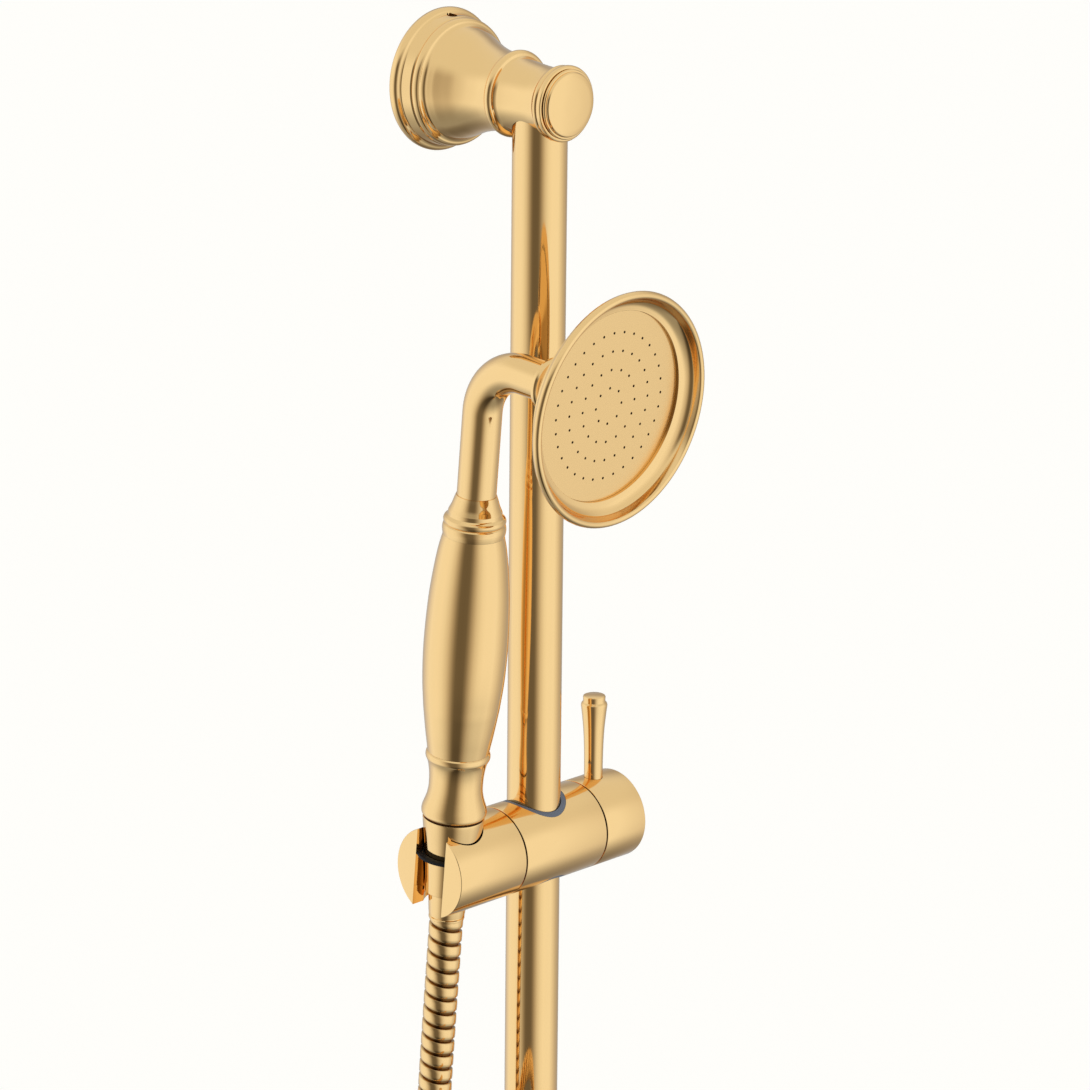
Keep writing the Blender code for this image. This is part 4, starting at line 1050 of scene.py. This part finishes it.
@dataclass
class Handset:
    """Collars, grip, bent neck and spray head. Heights are along the seat's axis."""

    seat: Seat
    neck_radius: float = 7.87
    neck_start: float = 149.4
    bend_start: float = 194.6
    bend_radius: float = 21.0
    bend_angle: float = math.radians(90)
    bend_steps: int = 24
    arm: float = 12.8
    neck_in_head: float = 5.5
    head_depth: float = 39.4
    plate_radius: float = 38.0
    plate_depth: float = 7.6
    plate_thickness: float = 2.0
    hole_radius: float = 0.55
    holes: tuple[tuple[int, float], ...] = ((8, 7.14), (16, 14.49), (24, 21.85), (32, 29.2))
    body: str = "handset"

    def place(self) -> Matrix:
        """Gives the seat's frame, turned the way that the head looks."""
        way = middle_of("spray_plate") - self.seat.place().translation
        return self.seat.place() @ Matrix.Rotation(math.atan2(way.x, -way.y), 4, "Z")

    def lower_collar(self) -> bpy.types.Object:
        """Turns the flare, the waist and the bead.

        Returns:
            The collar.
        """
        bead = Outline(9.5, 51.0).to(12.4, 51.0, 0.2)
        bead.curve((12.9, 50.4), (13.08, 49.4), (12.95, 48.4), (12.6, 47.7))
        bead.curve((12.0, 46.2), (11.5, 44), (11.1, 41), (10.92, 37.5), (11.0, 34.5), (11.4, 31.8))
        bead.curve((12.15, 29.3), (12.9, 27.2), (13.25, 25.4)).to(13.1, 24.1, 0.3).to(12.7, 23.6).to(10, 23.6)
        bead.to(10, 15.9).to(6.5, 15.9).to(6.5, 44.7).to(9.5, 44.7)
        return turned("lower_collar_turned", bead, self.seat.place(), Steps.LARGE)

    def painted_shadow_band(self) -> bpy.types.Object:
        """Turns a ring for the last of the thread in the gap between the nut and the collar; its near-black
        colour is painted shadow of that gap.
        """
        band = Outline(10.1, 23.55).to(12.0, 23.55).to(12.0, 22.55).to(10.1, 22.55)
        return turned("painted_shadow_band", band, self.seat.place(), Steps.SMALL)

    def grip(self) -> bpy.types.Object:
        """Turns the grip, widest at about its middle.

        Returns:
            The grip.
        """
        bulb = Outline(9.2, 143.54).to(12.3, 143.54)
        bulb.curve((13.75, 136.8), (15.1, 127.2), (16.25, 115), (16.88, 97.5), (16.45, 82), (15.35, 70))
        bulb.curve((13.95, 60.2), (13.0, 54.4), (12.45, 51.06)).to(9.2, 51.06).to(9.2, 45.3).to(6.5, 45.3)
        bulb.to(6.5, 53.9).to(9.2, 53.9).to(13.4, 90).to(9.2, 137.3)
        return turned("grip", bulb, self.seat.place(), Steps.LARGE)

    def upper_collar(self) -> bpy.types.Object:
        """Turns the two beads, the ring and the cone to the neck.

        Returns:
            The collar.
        """
        cone = Outline(7.9, 160.1).to(8.15, 160.1).curve((8.85, 158.2), (9.6, 155.9), (10.5, 153.9))
        cone.to(10.75, 153.4, 0.2).to(10.85, 151.9, 0.2).to(11.4, 151.4)
        cone.curve((12.1, 150.9), (12.5, 149.9), (12.35, 148.9))
        cone.to(11.95, 148.35).curve((12.5, 147.7), (12.72, 146.3), (12.6, 144.9)).to(12.35, 143.6)
        cone.to(8.9, 143.6).to(8.9, 137.9).to(5.3, 137.9).to(5.3, 149.1).to(7.9, 149.1)
        return turned("upper_collar_turned", cone, self.seat.place(), Steps.LARGE)

    def neck_line(self, end_cut: float) -> list[Vector]:
        """Draws the neck's centre line in the seat's frame.

        Args:
            end_cut: how far short of the head's rim it ends.

        Returns:
            The line's points, in millimetres.
        """
        line = [Vector((0, 0, self.neck_start)), Vector((0, 0, self.bend_start))]
        for step in range(1, self.bend_steps + 1):
            angle = self.bend_angle * step / self.bend_steps
            forward = self.bend_radius * (1 - math.cos(angle))
            line.append(Vector((0, -forward, self.bend_start + self.bend_radius * math.sin(angle))))
        line.append(self.rim() - self.facing() * end_cut)
        return line

    def facing(self) -> Vector:
        """Gives the way that the head faces, in the seat's frame."""
        return Vector((0, -math.sin(self.bend_angle), math.cos(self.bend_angle)))

    def rim(self) -> Vector:
        """Gives the middle of the head's rim, in the seat's frame and millimetres.

        Returns:
            The rim's middle.
        """
        tangent = self.bend_radius * math.tan(self.bend_angle / 2)
        corner = Vector((0, 0, self.bend_start + tangent))
        return corner + self.facing() * (tangent + self.arm + self.head_depth)

    def neck(self) -> bpy.types.Object:
        """Bends the neck's tube.

        Returns:
            The tube, closed at both ends, inside the collar and the head.
        """
        line = self.neck_line(self.head_depth - self.neck_in_head)
        side = Vector((1, 0, 0))
        steps = Steps.MEDIUM.value
        shape = bmesh.new()
        rings = []
        for index, point in enumerate(line):
            ahead = line[min(index + 1, len(line) - 1)] - line[max(index - 1, 0)]
            up = ahead.normalized().cross(side)
            angles = (2 * math.pi * k / steps for k in range(steps))
            ring = [point + (side * math.cos(a) - up * math.sin(a)) * self.neck_radius for a in angles]
            rings.append([shape.verts.new(corner) for corner in ring])
        for lower, upper in zip(rings, rings[1:]):
            for k in range(steps):
                after = (k + 1) % steps
                shape.faces.new((lower[k], lower[after], upper[after], upper[k]))
        shape.faces.new(list(reversed(rings[0])))
        shape.faces.new(rings[-1])
        bmesh.ops.recalc_face_normals(shape, faces=shape.faces)
        return finished("bent_neck", shape, self.place() @ Matrix.Scale(MM, 4))

    def head_place(self) -> Matrix:
        """Gives the frame at the head's rim, with Z the way it faces."""
        return self.place() @ Matrix.Translation(self.rim() * MM) @ Matrix.Rotation(self.bend_angle, 4, "X")

    def bell(self) -> bpy.types.Object:
        """Turns the head's bell with its rolled rim and hollow front.

        Returns:
            The bell.
        """
        front, back = -self.plate_depth, -self.head_depth
        rim = Outline(43.95, -1.0)
        rim.curve((44.35, -0.3), (45.2, 0.05), (46.15, -0.2), (46.75, -1.0), (46.9, -2.0), (46.4, -3.2))
        rim.to(45.7, -3.9, 0.3)
        rim.curve(
            (41.4, -7.0), (36.2, -10.9), (30.2, -16.0), (23.2, -22.6), (16.8, -28.4), (12.4, -33.0)
        )
        rim.curve((11.0, -35.0), (10.3, -36.2)).to(10.5, -36.7)
        rim.curve((10.9, -37.4), (10.8, -38.6)).to(10.1, -39.2, 0.3)
        rim.to(7.95, back).to(7.95, back + 6).to(6.4, back + 6).to(6.4, back + 9).to(14, -24).to(30, -12.6)
        rim.to(self.plate_radius + 0.08, front - 3.4).to(self.plate_radius + 0.08, front + 1.3, 0.15)
        rim.to(self.plate_radius + 0.6, front + 1.35, 0.15)
        rim.curve((40.4, front + 1.75), (42.0, front + 2.8), (43.0, front + 3.9), (43.45, front + 4.9))
        return turned("bell", rim, self.head_place(), Steps.LARGE)

    def plate(self) -> bpy.types.Object:
        """Makes the spray plate and pierces its rings of holes.

        Returns:
            The plate.
        """
        front = -self.plate_depth
        back = front - self.plate_thickness
        disc = Outline(0, front).to(self.plate_radius, front).to(self.plate_radius, back).to(0, back)
        plate = turned("pierced_plate", disc, self.head_place(), Steps.LARGE)
        punch = SprayRings().make(self.holes, self.hole_radius, self.head_place(), front)
        return carve(plate, punch)

    def build(self) -> None:
        """Makes the handset's pieces."""
        finish = gold(Grain.UPRIGHT)
        fit(self.lower_collar(), self.body, finish, "lower_collar")
        # the ring's dark colour is painted shadow of the gap under the collar
        fit(self.painted_shadow_band(), self.body, GAP_SHADOW_PAINT)
        fit(self.grip(), self.body, finish, "handle_grip")
        fit(self.upper_collar(), self.body, finish, "upper_collar")
        fit(self.neck(), self.body, finish, "neck_tube")
        fit(self.bell(), self.body, gold(Grain.EVEN), "head_bell")
        fit(self.plate(), self.body, PLATE_GOLD, "spray_plate")


class SprayRings:
    """Sets a punch at every hole of the spray plate."""

    HOLE_SIDES = 12

    def __init__(self) -> None:
        """Builds the tree: a ring of points, and a punch on each."""
        self.maker = Maker("spray_rings")
        tree = self.maker.tree
        count, ring = self.maker.size("Count", "Int"), self.maker.size("Ring radius")
        hole, length = self.maker.size("Hole radius"), self.maker.size("Punch length")
        finish = self.maker.size("Finish", "Material")
        points = tree.add("GeometryNodeMeshCircle", {"Vertices": count, "Radius": ring})
        sizes = {"Vertices": self.HOLE_SIDES, "Radius": hole, "Depth": length}
        punch = tree.add("GeometryNodeMeshCylinder", sizes)
        placed = tree.add(
            "GeometryNodeInstanceOnPoints",
            {"Points": points.outputs[0], "Instance": punch.outputs[0]},
        )
        self.maker.close(placed.outputs[0], finish)

    def make(
        self, holes: Iterable[tuple[int, float]], radius: float, place: Matrix, front: float
    ) -> bpy.types.Object:
        """Makes every ring of punches and joins them.

        Args:
            holes: each ring's count and radius, in millimetres.
            radius: a hole's radius.
            place: the head's frame.
            front: the plate's face along the head's axis.

        Returns:
            One object of separate punches.
        """
        joined = bmesh.new()
        for count, ring in holes:
            values = {
                "Count": count,
                "Ring radius": ring,
                "Hole radius": radius,
                "Punch length": 2 * OVERRUN,
                "Finish": PLATE_GOLD.material(),
            }
            punches = self.maker.make("punches", values)
            joined.from_mesh(punches.data)
            bpy.data.objects.remove(punches)
        face = place @ Matrix.Translation((0, 0, front * MM))
        return finished("punch", joined, face @ Matrix.Scale(MM, 4))


# ---------------------------------------------------------------- hose


@dataclass
class Hose:
    """A spiral metal hose: it hangs from the nut, then lies folded in a tied hank."""

    seat: Seat
    radius: float = 7.0
    pitch: float = 6.2
    sides: int = 20
    length: float = 1.5
    exit_height: float = -22.4
    fold: float = 42.0
    run: float = 262.0
    last_run: float = 178.0
    turn_steps: int = 10
    run_steps: int = 5
    samples: int = 4
    weld: float = 0.00002  # points nearer than this are one, in metres
    strap_thickness: float = 1.5
    strap_corner: float = 7.0
    corner_steps: int = 10
    strap_edge: float = 0.35
    strap_crease: float = math.radians(60)
    route: tuple[tuple[float, float, float], ...] = (
        (0, 0, 0),
        (0, 0.0026, -0.030),
        (0, 0.0051, -0.060),
        (0, 0.0066, -0.080),
        (0, 0.0077, -0.100),
        (0, 0.0082, -0.120),
        (0, 0.0083, -0.139),
    )

    def exit(self) -> Vector:
        """Gives the point where the hose leaves its sleeve."""
        return self.seat.place(self.exit_height).translation

    def line(self) -> list[Vector]:
        """Draws the hose's whole centre line.

        Returns:
            Its points, in metres: down from the sleeve, then round the hank.
        """
        start = self.exit()
        points = [start + Vector(step) for step in self.route]
        top = points[-1]
        near, far = top.y, top.y - 2 * self.fold * MM
        low = top.z - self.run * MM
        middle = (near + far) / 2
        first, second = top.x, top.x - 2 * self.radius * MM
        end_x = middle_of("end_sleeve").x

        points += self.straight(first, near, top.z, low)[1:]
        points += self.half_turn(low, middle, first, first, -1)
        points += self.straight(first, far, low, top.z)
        points += self.half_turn(top.z, middle, first, second, 1)
        points += self.straight(second, near, top.z, low)
        points += self.half_turn(low, middle, second, second, -1)
        points += self.straight(second, far, low, low + self.last_run * MM, end_x - second)
        return smooth_curve(points, self.samples)

    def half_turn(self, height: float, middle: float, start_x: float, end_x: float, way: int) -> list[Vector]:
        """Draws a half turn of the hank.

        Args:
            height: where its two ends are.
            middle: the middle of the hank, from front to back.
            start_x: where it starts across the hank.
            end_x: where it ends across the hank.
            way: 1 over the top, -1 round the bottom.

        Returns:
            Its points, without its two ends.
        """
        turn: list[Vector] = []
        for step in range(1, self.turn_steps):
            angle = math.pi * step / self.turn_steps
            out, lift = -way * math.cos(angle), way * math.sin(angle)
            x = start_x + (end_x - start_x) * step / self.turn_steps
            turn.append(Vector((x, middle + out * self.fold * MM, height + lift * self.fold * MM)))
        return turn

    def straight(self, x: float, y: float, start_z: float, end_z: float, shift: float = 0.0) -> list[Vector]:
        """Draws an upright run of the hank.

        Args:
            x: where it is across the hank.
            y: where it is from front to back.
            start_z: the height that it starts at.
            end_z: the height that it ends at.
            shift: how far it drifts across on its way.

        Returns:
            Its points, both ends included.
        """
        run: list[Vector] = []
        for step in range(self.run_steps + 1):
            t = step / self.run_steps
            run.append(Vector((x + shift * t * t * (3 - 2 * t), y, start_z + (end_z - start_z) * t)))
        return run

    def spiral(self, line: Sequence[Vector]) -> bpy.types.Object:
        """Winds the strip along the line.

        Args:
            line: the hose's centre line.

        Returns:
            The hose.
        """
        curve = bpy.data.curves.new("hose_line", "CURVE")
        curve.dimensions = "3D"
        spline = curve.splines.new("POLY")
        spline.points.add(len(line) - 1)
        for point, spot in zip(spline.points, line):
            point.co = (*spot, 1)
        total = length_of(line)
        turns = round(total / (self.pitch * MM))
        values = {
            "Length": total,
            "Turns": turns,
            "Radius": self.radius * MM,
            "Sides": self.sides,
            "Finish": HOSE_GOLD.material(),
        }
        wound = SpiralStrip().maker.make("spiral_hose", values, curve)
        return self.closed(wound)

    def closed(self, wound: bpy.types.Object) -> bpy.types.Object:
        """Closes the two ends of the wound strip and turns its faces outwards.

        Args:
            wound: the strip, as the tree made it.

        Returns:
            The same piece, closed.
        """
        shape = bmesh.new()
        shape.from_mesh(wound.data)
        bmesh.ops.remove_doubles(shape, verts=shape.verts, dist=self.weld)
        rims = [edge for edge in shape.edges if edge.is_boundary]
        bmesh.ops.holes_fill(shape, edges=rims, sides=0)
        bmesh.ops.recalc_face_normals(shape, faces=shape.faces)
        shape.to_mesh(wound.data)
        shape.free()
        smooth(wound)
        return wound

    def strap_loop(self, size: Vector, inset: float) -> list[Point]:
        """Draws one side of the strap's band, as a box with round corners.

        Args:
            size: the strap's width, depth and height, in millimetres.
            inset: how far in from the strap's outside.

        Returns:
            The loop's points.
        """
        half_x, half_y = size.x / 2 - inset, size.y / 2 - inset
        corner = self.strap_corner - inset
        loop: list[Point] = []
        for quarter in range(4):
            sign_x = 1 if quarter in (0, 3) else -1
            sign_y = 1 if quarter in (0, 1) else -1
            for step in range(self.corner_steps + 1):
                angle = math.pi / 2 * (quarter + step / self.corner_steps)
                x = sign_x * (half_x - corner) + corner * math.cos(angle)
                y = sign_y * (half_y - corner) + corner * math.sin(angle)
                loop.append((x, y))
        return loop

    def tie(self) -> bpy.types.Object:
        """Makes the strap that holds the hank: a band with eased edges round the four runs.

        Returns:
            The strap.
        """
        low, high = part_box("hose_tie")
        size = (high - low) / MM
        loops = [self.strap_loop(size, inset) for inset in (0.0, self.strap_thickness)]
        heights = (-size.z / 2, size.z / 2)
        shape = bmesh.new()
        rings = [[shape.verts.new((x, y, h)) for x, y in loop] for loop in loops for h in heights]
        outer_low, outer_high, inner_low, inner_high = rings
        around = (outer_low, outer_high, inner_high, inner_low, outer_low)
        for first, second in zip(around, around[1:]):
            for k in range(len(first)):
                after = (k + 1) % len(first)
                shape.faces.new((first[k], first[after], second[after], second[k]))
        edges = [edge for edge in shape.edges if edge.calc_face_angle(0) > self.strap_crease]
        bmesh.ops.bevel(shape, geom=edges, offset=self.strap_edge, segments=2, affect="EDGES")
        bmesh.ops.recalc_face_normals(shape, faces=shape.faces)
        place = Matrix.Translation(middle_of("hose_tie"))
        return finished("tie_strap", shape, place @ Matrix.Scale(MM, 4))

    def far_end(self, node: str) -> Matrix:
        """Gives the frame at the foot of a node on the hose's far end, on the sleeve's axis."""
        middle = middle_of("end_sleeve")
        return Matrix.Translation((middle.x, middle.y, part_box(node)[0].z))

    def ferrule(self) -> bpy.types.Object:
        """Turns the sleeve on the hose's far end.

        Returns:
            The sleeve.
        """
        low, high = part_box("end_sleeve")
        length = (high.z - low.z) / MM
        sleeve = Outline(4.9, length).to(7.8, length, 0.3).to(7.8, 3, 0.4)
        sleeve.curve((7.6, 1.6), (7.1, 0.4)).to(6.9, 0).to(4.9, 0)
        return turned("end_ferrule", sleeve, self.far_end("end_sleeve"), Steps.MEDIUM)

    def nut(self) -> bpy.types.Object:
        """Makes the six-sided nut on the hose's far end, bored right through.

        Returns:
            The nut.
        """
        low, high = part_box("end_nut")
        height = (high.z - low.z) / MM
        across = (high.x - low.x) / 2 / MM
        place = self.far_end("end_nut")
        body = Outline(0, height).to(across - 1.9, height).to(across, height - 1.5).to(across, 1.5)
        body.to(across - 1.9, 0).to(0, 0)
        flats = Outline(0, height + 1).to(across, height + 1).to(across, -1).to(0, -1)
        hexagon = turned("hexagon", flats, place, Steps.HEXAGON)
        piece = carve(turned("union_nut", body, place, Steps.MEDIUM), hexagon, keep=True)
        bore = Outline(0, height + 2).to(10.3, height + 2).to(10.3, 3).to(6.8, 3).to(6.8, -2).to(0, -2)
        return carve(piece, turned("bore", bore, place, Steps.MEDIUM))

    def build(self) -> None:
        """Makes the hose, its hank, its tie and its far end."""
        line = self.line()
        hose = self.spiral(line)
        dress(hose, HOSE_GOLD)
        strap = fit(self.tie(), "hose", STRAP, "hose_tie")
        nut, sleeve = self.nut(), self.ferrule()
        fit(sleeve, "hose", gold(Grain.UPRIGHT), "end_sleeve")
        fit(nut, "hose", gold(Grain.UPRIGHT), "end_nut")
        start = self.exit()
        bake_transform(hose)
        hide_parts("hose", "hose_hank")
        log.info("the hose is %.3f m long", length_of(line))


class SpiralStrip:
    """Winds an interlocked strip round a curve: flat bands with a groove after each turn.

    Each turn of the strip has one row of points for each value in these lists.
    """

    BAND = (0.0, 0.07, 0.22, 0.5, 0.68, 0.75, 0.8, 0.93)  # how far along the turn a row lies
    SWELL = (0.955, 0.99, 1.0, 1.0, 0.99, 0.955, 0.85, 0.84)  # its share of the hose's radius
    GROOVE_SHADE = (0.35, 0.0, 0.0, 0.0, 0.0, 0.3, 1.0, 1.0)  # how much of the painted groove shade it has
    ROW_SLACK = 0.01  # keeps a whole row number from being read as the one before it
    STEP_SLACK = 0.02  # the same for a row's place in its turn

    def __init__(self) -> None:
        """Builds the tree: a grid of turns and sides, rolled round the curve."""
        self.maker = Maker("spiral_strip")
        length = self.maker.size("Length")
        turns, sides = self.maker.size("Turns", "Int"), self.maker.size("Sides", "Int")
        radius, finish = self.maker.size("Radius"), self.maker.size("Finish", "Material")
        tree = self.maker.tree
        rows = float(len(self.BAND))
        across = tree.math("ADD", sides, 1.0)
        down = tree.math("ADD", tree.math("MULTIPLY", tree.math("ADD", turns, 1.0), rows), 1.0)
        grid = tree.add(
            "GeometryNodeMeshGrid",
            {"Size X": 1.0, "Size Y": 1.0, "Vertices X": across, "Vertices Y": down},
        )
        place = tree.add("ShaderNodeSeparateXYZ", {0: tree.add("GeometryNodeInputPosition").outputs[0]})
        side = self.counted(place.outputs["X"], sides)
        row = self.counted(place.outputs["Y"], tree.math("SUBTRACT", down, 1.0))
        wound_rows = tree.math("DIVIDE", tree.math("ADD", row, self.ROW_SLACK), rows)
        step, turn = tree.math("FRACT", wound_rows), tree.math("FLOOR", wound_rows)
        band, swell = self.lookup(step, self.BAND), self.lookup(step, self.SWELL)
        # each row's share of the painted groove shade
        groove = self.lookup(step, self.GROOVE_SHADE)
        angle = tree.math("DIVIDE", side, sides)
        pitch = tree.math("DIVIDE", length, turns)
        wound = tree.math("MULTIPLY", tree.math("SUBTRACT", tree.math("ADD", turn, band), angle), pitch)
        along = tree.math("MINIMUM", tree.math("MAXIMUM", wound, 0.0), length)
        cut = tree.math("GREATER_THAN", tree.math("ABSOLUTE", tree.math("SUBTRACT", wound, along)), 0.0)
        swell = tree.math("MAXIMUM", swell, cut)
        sample = tree.add(
            "GeometryNodeSampleCurve",
            {"Curves": self.maker.source.outputs["Geometry"], "Length": along},
            mode="LENGTH",
            use_all_curves=True,
        )
        tangent, normal = sample.outputs["Tangent"], sample.outputs["Normal"]
        across_way = tree.vector("CROSS_PRODUCT", tangent, normal)
        radians = tree.math("MULTIPLY", angle, 2 * math.pi)
        out = tree.vector(
            "ADD",
            tree.scaled(normal, tree.math("COSINE", radians)),
            tree.scaled(across_way, tree.math("SINE", radians)),
        )
        offset = tree.scaled(out, tree.math("MULTIPLY", radius, swell))
        spot = tree.vector("ADD", sample.outputs["Position"], offset)
        # stores each point's share of painted groove shade, which the hose's material reads
        marked = tree.add(
            "GeometryNodeStoreNamedAttribute",
            {"Geometry": grid.outputs[0], "Name": "groove", "Value": groove},
            data_type="FLOAT",
            domain="POINT",
        )
        rolled = tree.add("GeometryNodeSetPosition", {"Geometry": marked.outputs[0], "Position": spot})
        self.maker.close(rolled.outputs[0], finish)

    def counted(self, place: bpy.types.NodeSocket, count: bpy.types.NodeSocket) -> bpy.types.NodeSocket:
        """Gives the whole number of a grid's row or column.

        Args:
            place: where it is across the grid, from -0.5 to 0.5.
            count: the last one's number.

        Returns:
            The number's socket.
        """
        tree = self.maker.tree
        return tree.math("ROUND", tree.math("MULTIPLY", tree.math("ADD", place, 0.5), count))

    def lookup(self, step: bpy.types.NodeSocket, heights: Sequence[float]) -> bpy.types.NodeSocket:
        """Gives the value that a list has at a row.

        Args:
            step: the row's place in its turn, from 0 to 1.
            heights: the value at each row, in order.

        Returns:
            The value's socket.
        """
        result: bpy.types.NodeSocket | float = heights[0]
        tree = self.maker.tree
        for row, height in enumerate(heights[1:], 1):
            past = tree.math("GREATER_THAN", step, row / len(heights) - self.STEP_SLACK)
            gain = tree.math("SUBTRACT", height, result)
            result = tree.math("ADD", result, tree.math("MULTIPLY", past, gain))
        return result


# ---------------------------------------------------------------- plain nodes and studio


def dress_nodes(frame: dict[str, Any]) -> None:
    """Gives every node that is still shown the finish of its slot.

    Args:
        frame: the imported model, as loaded.
    """
    slots = {part["node"]: part["material_slot"] for part in frame["record"]["subparts"]}
    for name, node in frame["nodes"].items():
        if node.hide_render:
            continue
        finish = DARK_STEEL if name.endswith("grub_screw") else NODE_FINISHES[slots[name]]
        node.data.materials.clear()
        node.data.materials.append(finish.material())
        node.data.shade_flat()


@dataclass
class Studio:
    """Camera, pale floor and soft light. Angles are in degrees, places in metres."""

    azimuth: float = -45.57
    elevation: float = 16.68
    roll: float = 0.58
    distance: float = 2.04355
    target: tuple[float, float, float] = (0.00517, -0.056, -0.18425)
    sensor: float = 36.0
    lens: float = 166.96
    clip_end: float = 30.0
    floor_height: float = -1.35
    floor_size: float = 14.0
    floor_colour: Colour = (0.95, 0.86, 0.74, 1.0)
    floor_roughness: float = 0.9
    floor_glow: float = 0.25
    overhead_colour: Colour = (0.82, 0.9, 1.0, 1.0)
    overhead_heights: Point = (0.28, 0.7)  # where the light overhead starts, and where it is full
    underfoot_heights: Point = (-0.95, -0.45)  # where the light underfoot is least, and where it is full
    underfoot_light: float = 0.35
    least_light: float = 0.15
    green: Point = (0.95, 0.17)  # share of green where the light is least, and what full light adds
    blue: Point = (0.88, 0.42)  # the same for blue
    dark_side: float = -60.0  # azimuth of the middle of the studio's unlit side
    dark_to_light: tuple[Point, ...] = (
        (0, 0.155),
        (11, 0.165),
        (18, 0.26),
        (28, 0.5),
        (38, 0.74),
        (52, 0.93),
        (66, 1.0),
        (100, 1.0),
        (118, 0.82),
        (135, 0.62),
        (155, 0.48),
        (180, 0.42),
    )  # degrees from its middle, and how bright it is there

    def back(self) -> Vector:
        """Gives the direction from the target to the camera.

        Returns:
            The direction, of length 1.
        """
        around, above = math.radians(self.azimuth), math.radians(self.elevation)
        level = math.cos(above)
        return Vector((math.sin(around) * level, -math.cos(around) * level, math.sin(above)))

    def camera(self) -> None:
        """Sets the camera up."""
        around, roll = math.radians(self.azimuth), math.radians(self.roll)
        back = self.back()
        right = Vector((math.cos(around), math.sin(around), 0))
        up = back.cross(right)
        across = right * math.cos(roll) + up * math.sin(roll)
        upwards = up * math.cos(roll) - right * math.sin(roll)
        lens = bpy.data.cameras.new("camera")
        lens.sensor_width = self.sensor
        lens.lens = self.lens
        lens.clip_end = self.clip_end
        camera = bpy.data.objects.new("camera", lens)
        bpy.context.scene.collection.objects.link(camera)
        turn = Matrix((across, upwards, back)).transposed().to_4x4()
        camera.matrix_world = Matrix.Translation(Vector(self.target) + back * self.distance) @ turn
        bpy.context.scene.camera = camera

    def floor(self) -> None:
        """Lays a wide pale floor, which gives light to the scene but no reflection."""
        shape = bmesh.new()
        bmesh.ops.create_grid(shape, x_segments=1, y_segments=1, size=self.floor_size)
        floor = finished("floor", shape, Matrix.Translation((0, 0, self.floor_height)))
        material = bpy.data.materials.new("pale_floor")
        material.use_nodes = True
        shader = material.node_tree.nodes["Principled BSDF"]
        shader.inputs["Base Color"].default_value = self.floor_colour
        shader.inputs["Roughness"].default_value = self.floor_roughness
        shader.inputs["Specular IOR Level"].default_value = 0.0
        shader.inputs["Emission Color"].default_value = (1, 1, 1, 1)
        shader.inputs["Emission Strength"].default_value = self.floor_glow
        floor.data.materials.append(material)
        floor.visible_glossy = False

    def light(self) -> None:
        """Lights the scene from all round, with one unlit side for the metal to reflect."""
        world = bpy.data.worlds.new("studio")
        bpy.context.scene.world = world
        world.use_nodes = True
        tree = Tree(world.node_tree)
        tree.nodes.clear()
        way = tree.add("ShaderNodeTexCoord").outputs["Generated"]
        around = math.radians(self.dark_side)
        facing = (math.sin(around), -math.cos(around), 0.0)
        sideways = (math.cos(around), math.sin(around), 0.0)
        ahead = tree.dot(way, facing)
        aside = tree.dot(way, sideways)
        turn = tree.math("DIVIDE", tree.math("ABSOLUTE", tree.math("ARCTAN2", aside, ahead)), math.pi)
        ring = tree.add("ShaderNodeValToRGB", {"Fac": turn})
        ramp = ring.color_ramp
        while len(ramp.elements) < len(self.dark_to_light):
            ramp.elements.new(0.5)
        for element, (place, value) in zip(ramp.elements, self.dark_to_light):
            element.position = place / 180
            cool = (value - self.least_light) / (1 - self.least_light)
            green = self.green[0] + self.green[1] * cool
            blue = self.blue[0] + self.blue[1] * cool
            element.color = (value, value * green, value * blue, 1)
        height = tree.add("ShaderNodeSeparateXYZ", {0: way}).outputs["Z"]
        above = tree.add(
            "ShaderNodeMapRange",
            {
                "Value": height,
                "From Min": self.overhead_heights[0],
                "From Max": self.overhead_heights[1],
            },
            interpolation_type="SMOOTHSTEP",
        )
        lit = tree.mixed(above.outputs[0], ring.outputs[0], self.overhead_colour)
        below = tree.add(
            "ShaderNodeMapRange",
            {
                "Value": height,
                "From Min": self.underfoot_heights[0],
                "From Max": self.underfoot_heights[1],
                "To Min": self.underfoot_light,
                "To Max": 1.0,
            },
            interpolation_type="SMOOTHSTEP",
        )
        studio = tree.add("ShaderNodeBackground", {"Color": lit, "Strength": below.outputs[0]})
        plain = tree.add("ShaderNodeBackground", {"Color": (1, 1, 1, 1), "Strength": 1.0})
        seen = tree.add("ShaderNodeLightPath").outputs["Is Camera Ray"]
        either = tree.add("ShaderNodeMixShader", {0: seen, 1: studio.outputs[0], 2: plain.outputs[0]})
        tree.add("ShaderNodeOutputWorld", {"Surface": either.outputs[0]})

    def build(self) -> None:
        """Sets up the camera, the floor and the light."""
        self.camera()
        self.floor()
        self.light()
        bpy.context.scene.view_settings.view_transform = "Standard"


def corners(bounds: tuple[Vector, Vector]) -> list[list[float]]:
    """Gives a box's two corners as plain numbers."""
    return [list(corner) for corner in bounds]


def main(frame: dict[str, Any]) -> None:
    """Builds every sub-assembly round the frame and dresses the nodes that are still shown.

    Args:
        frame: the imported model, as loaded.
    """
    logging.basicConfig(level=logging.INFO, format="%(name)s: %(message)s")
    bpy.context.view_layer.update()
    Studio().build()
    slider, seat = Slider(), Seat()
    builders = [
        Hose(seat),
        WallBracket("upper", -1),
        WallBracket("lower", 1),
        Rail(),
        slider,
        Holder(slider, seat),
        HoseEnd(seat),
        Handset(seat),
    ]
    for builder in builders:
        log.info("making %s", type(builder).__name__)
        builder.build()
    dress_nodes(frame)


if __name__ == "__main__":
    main(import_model())
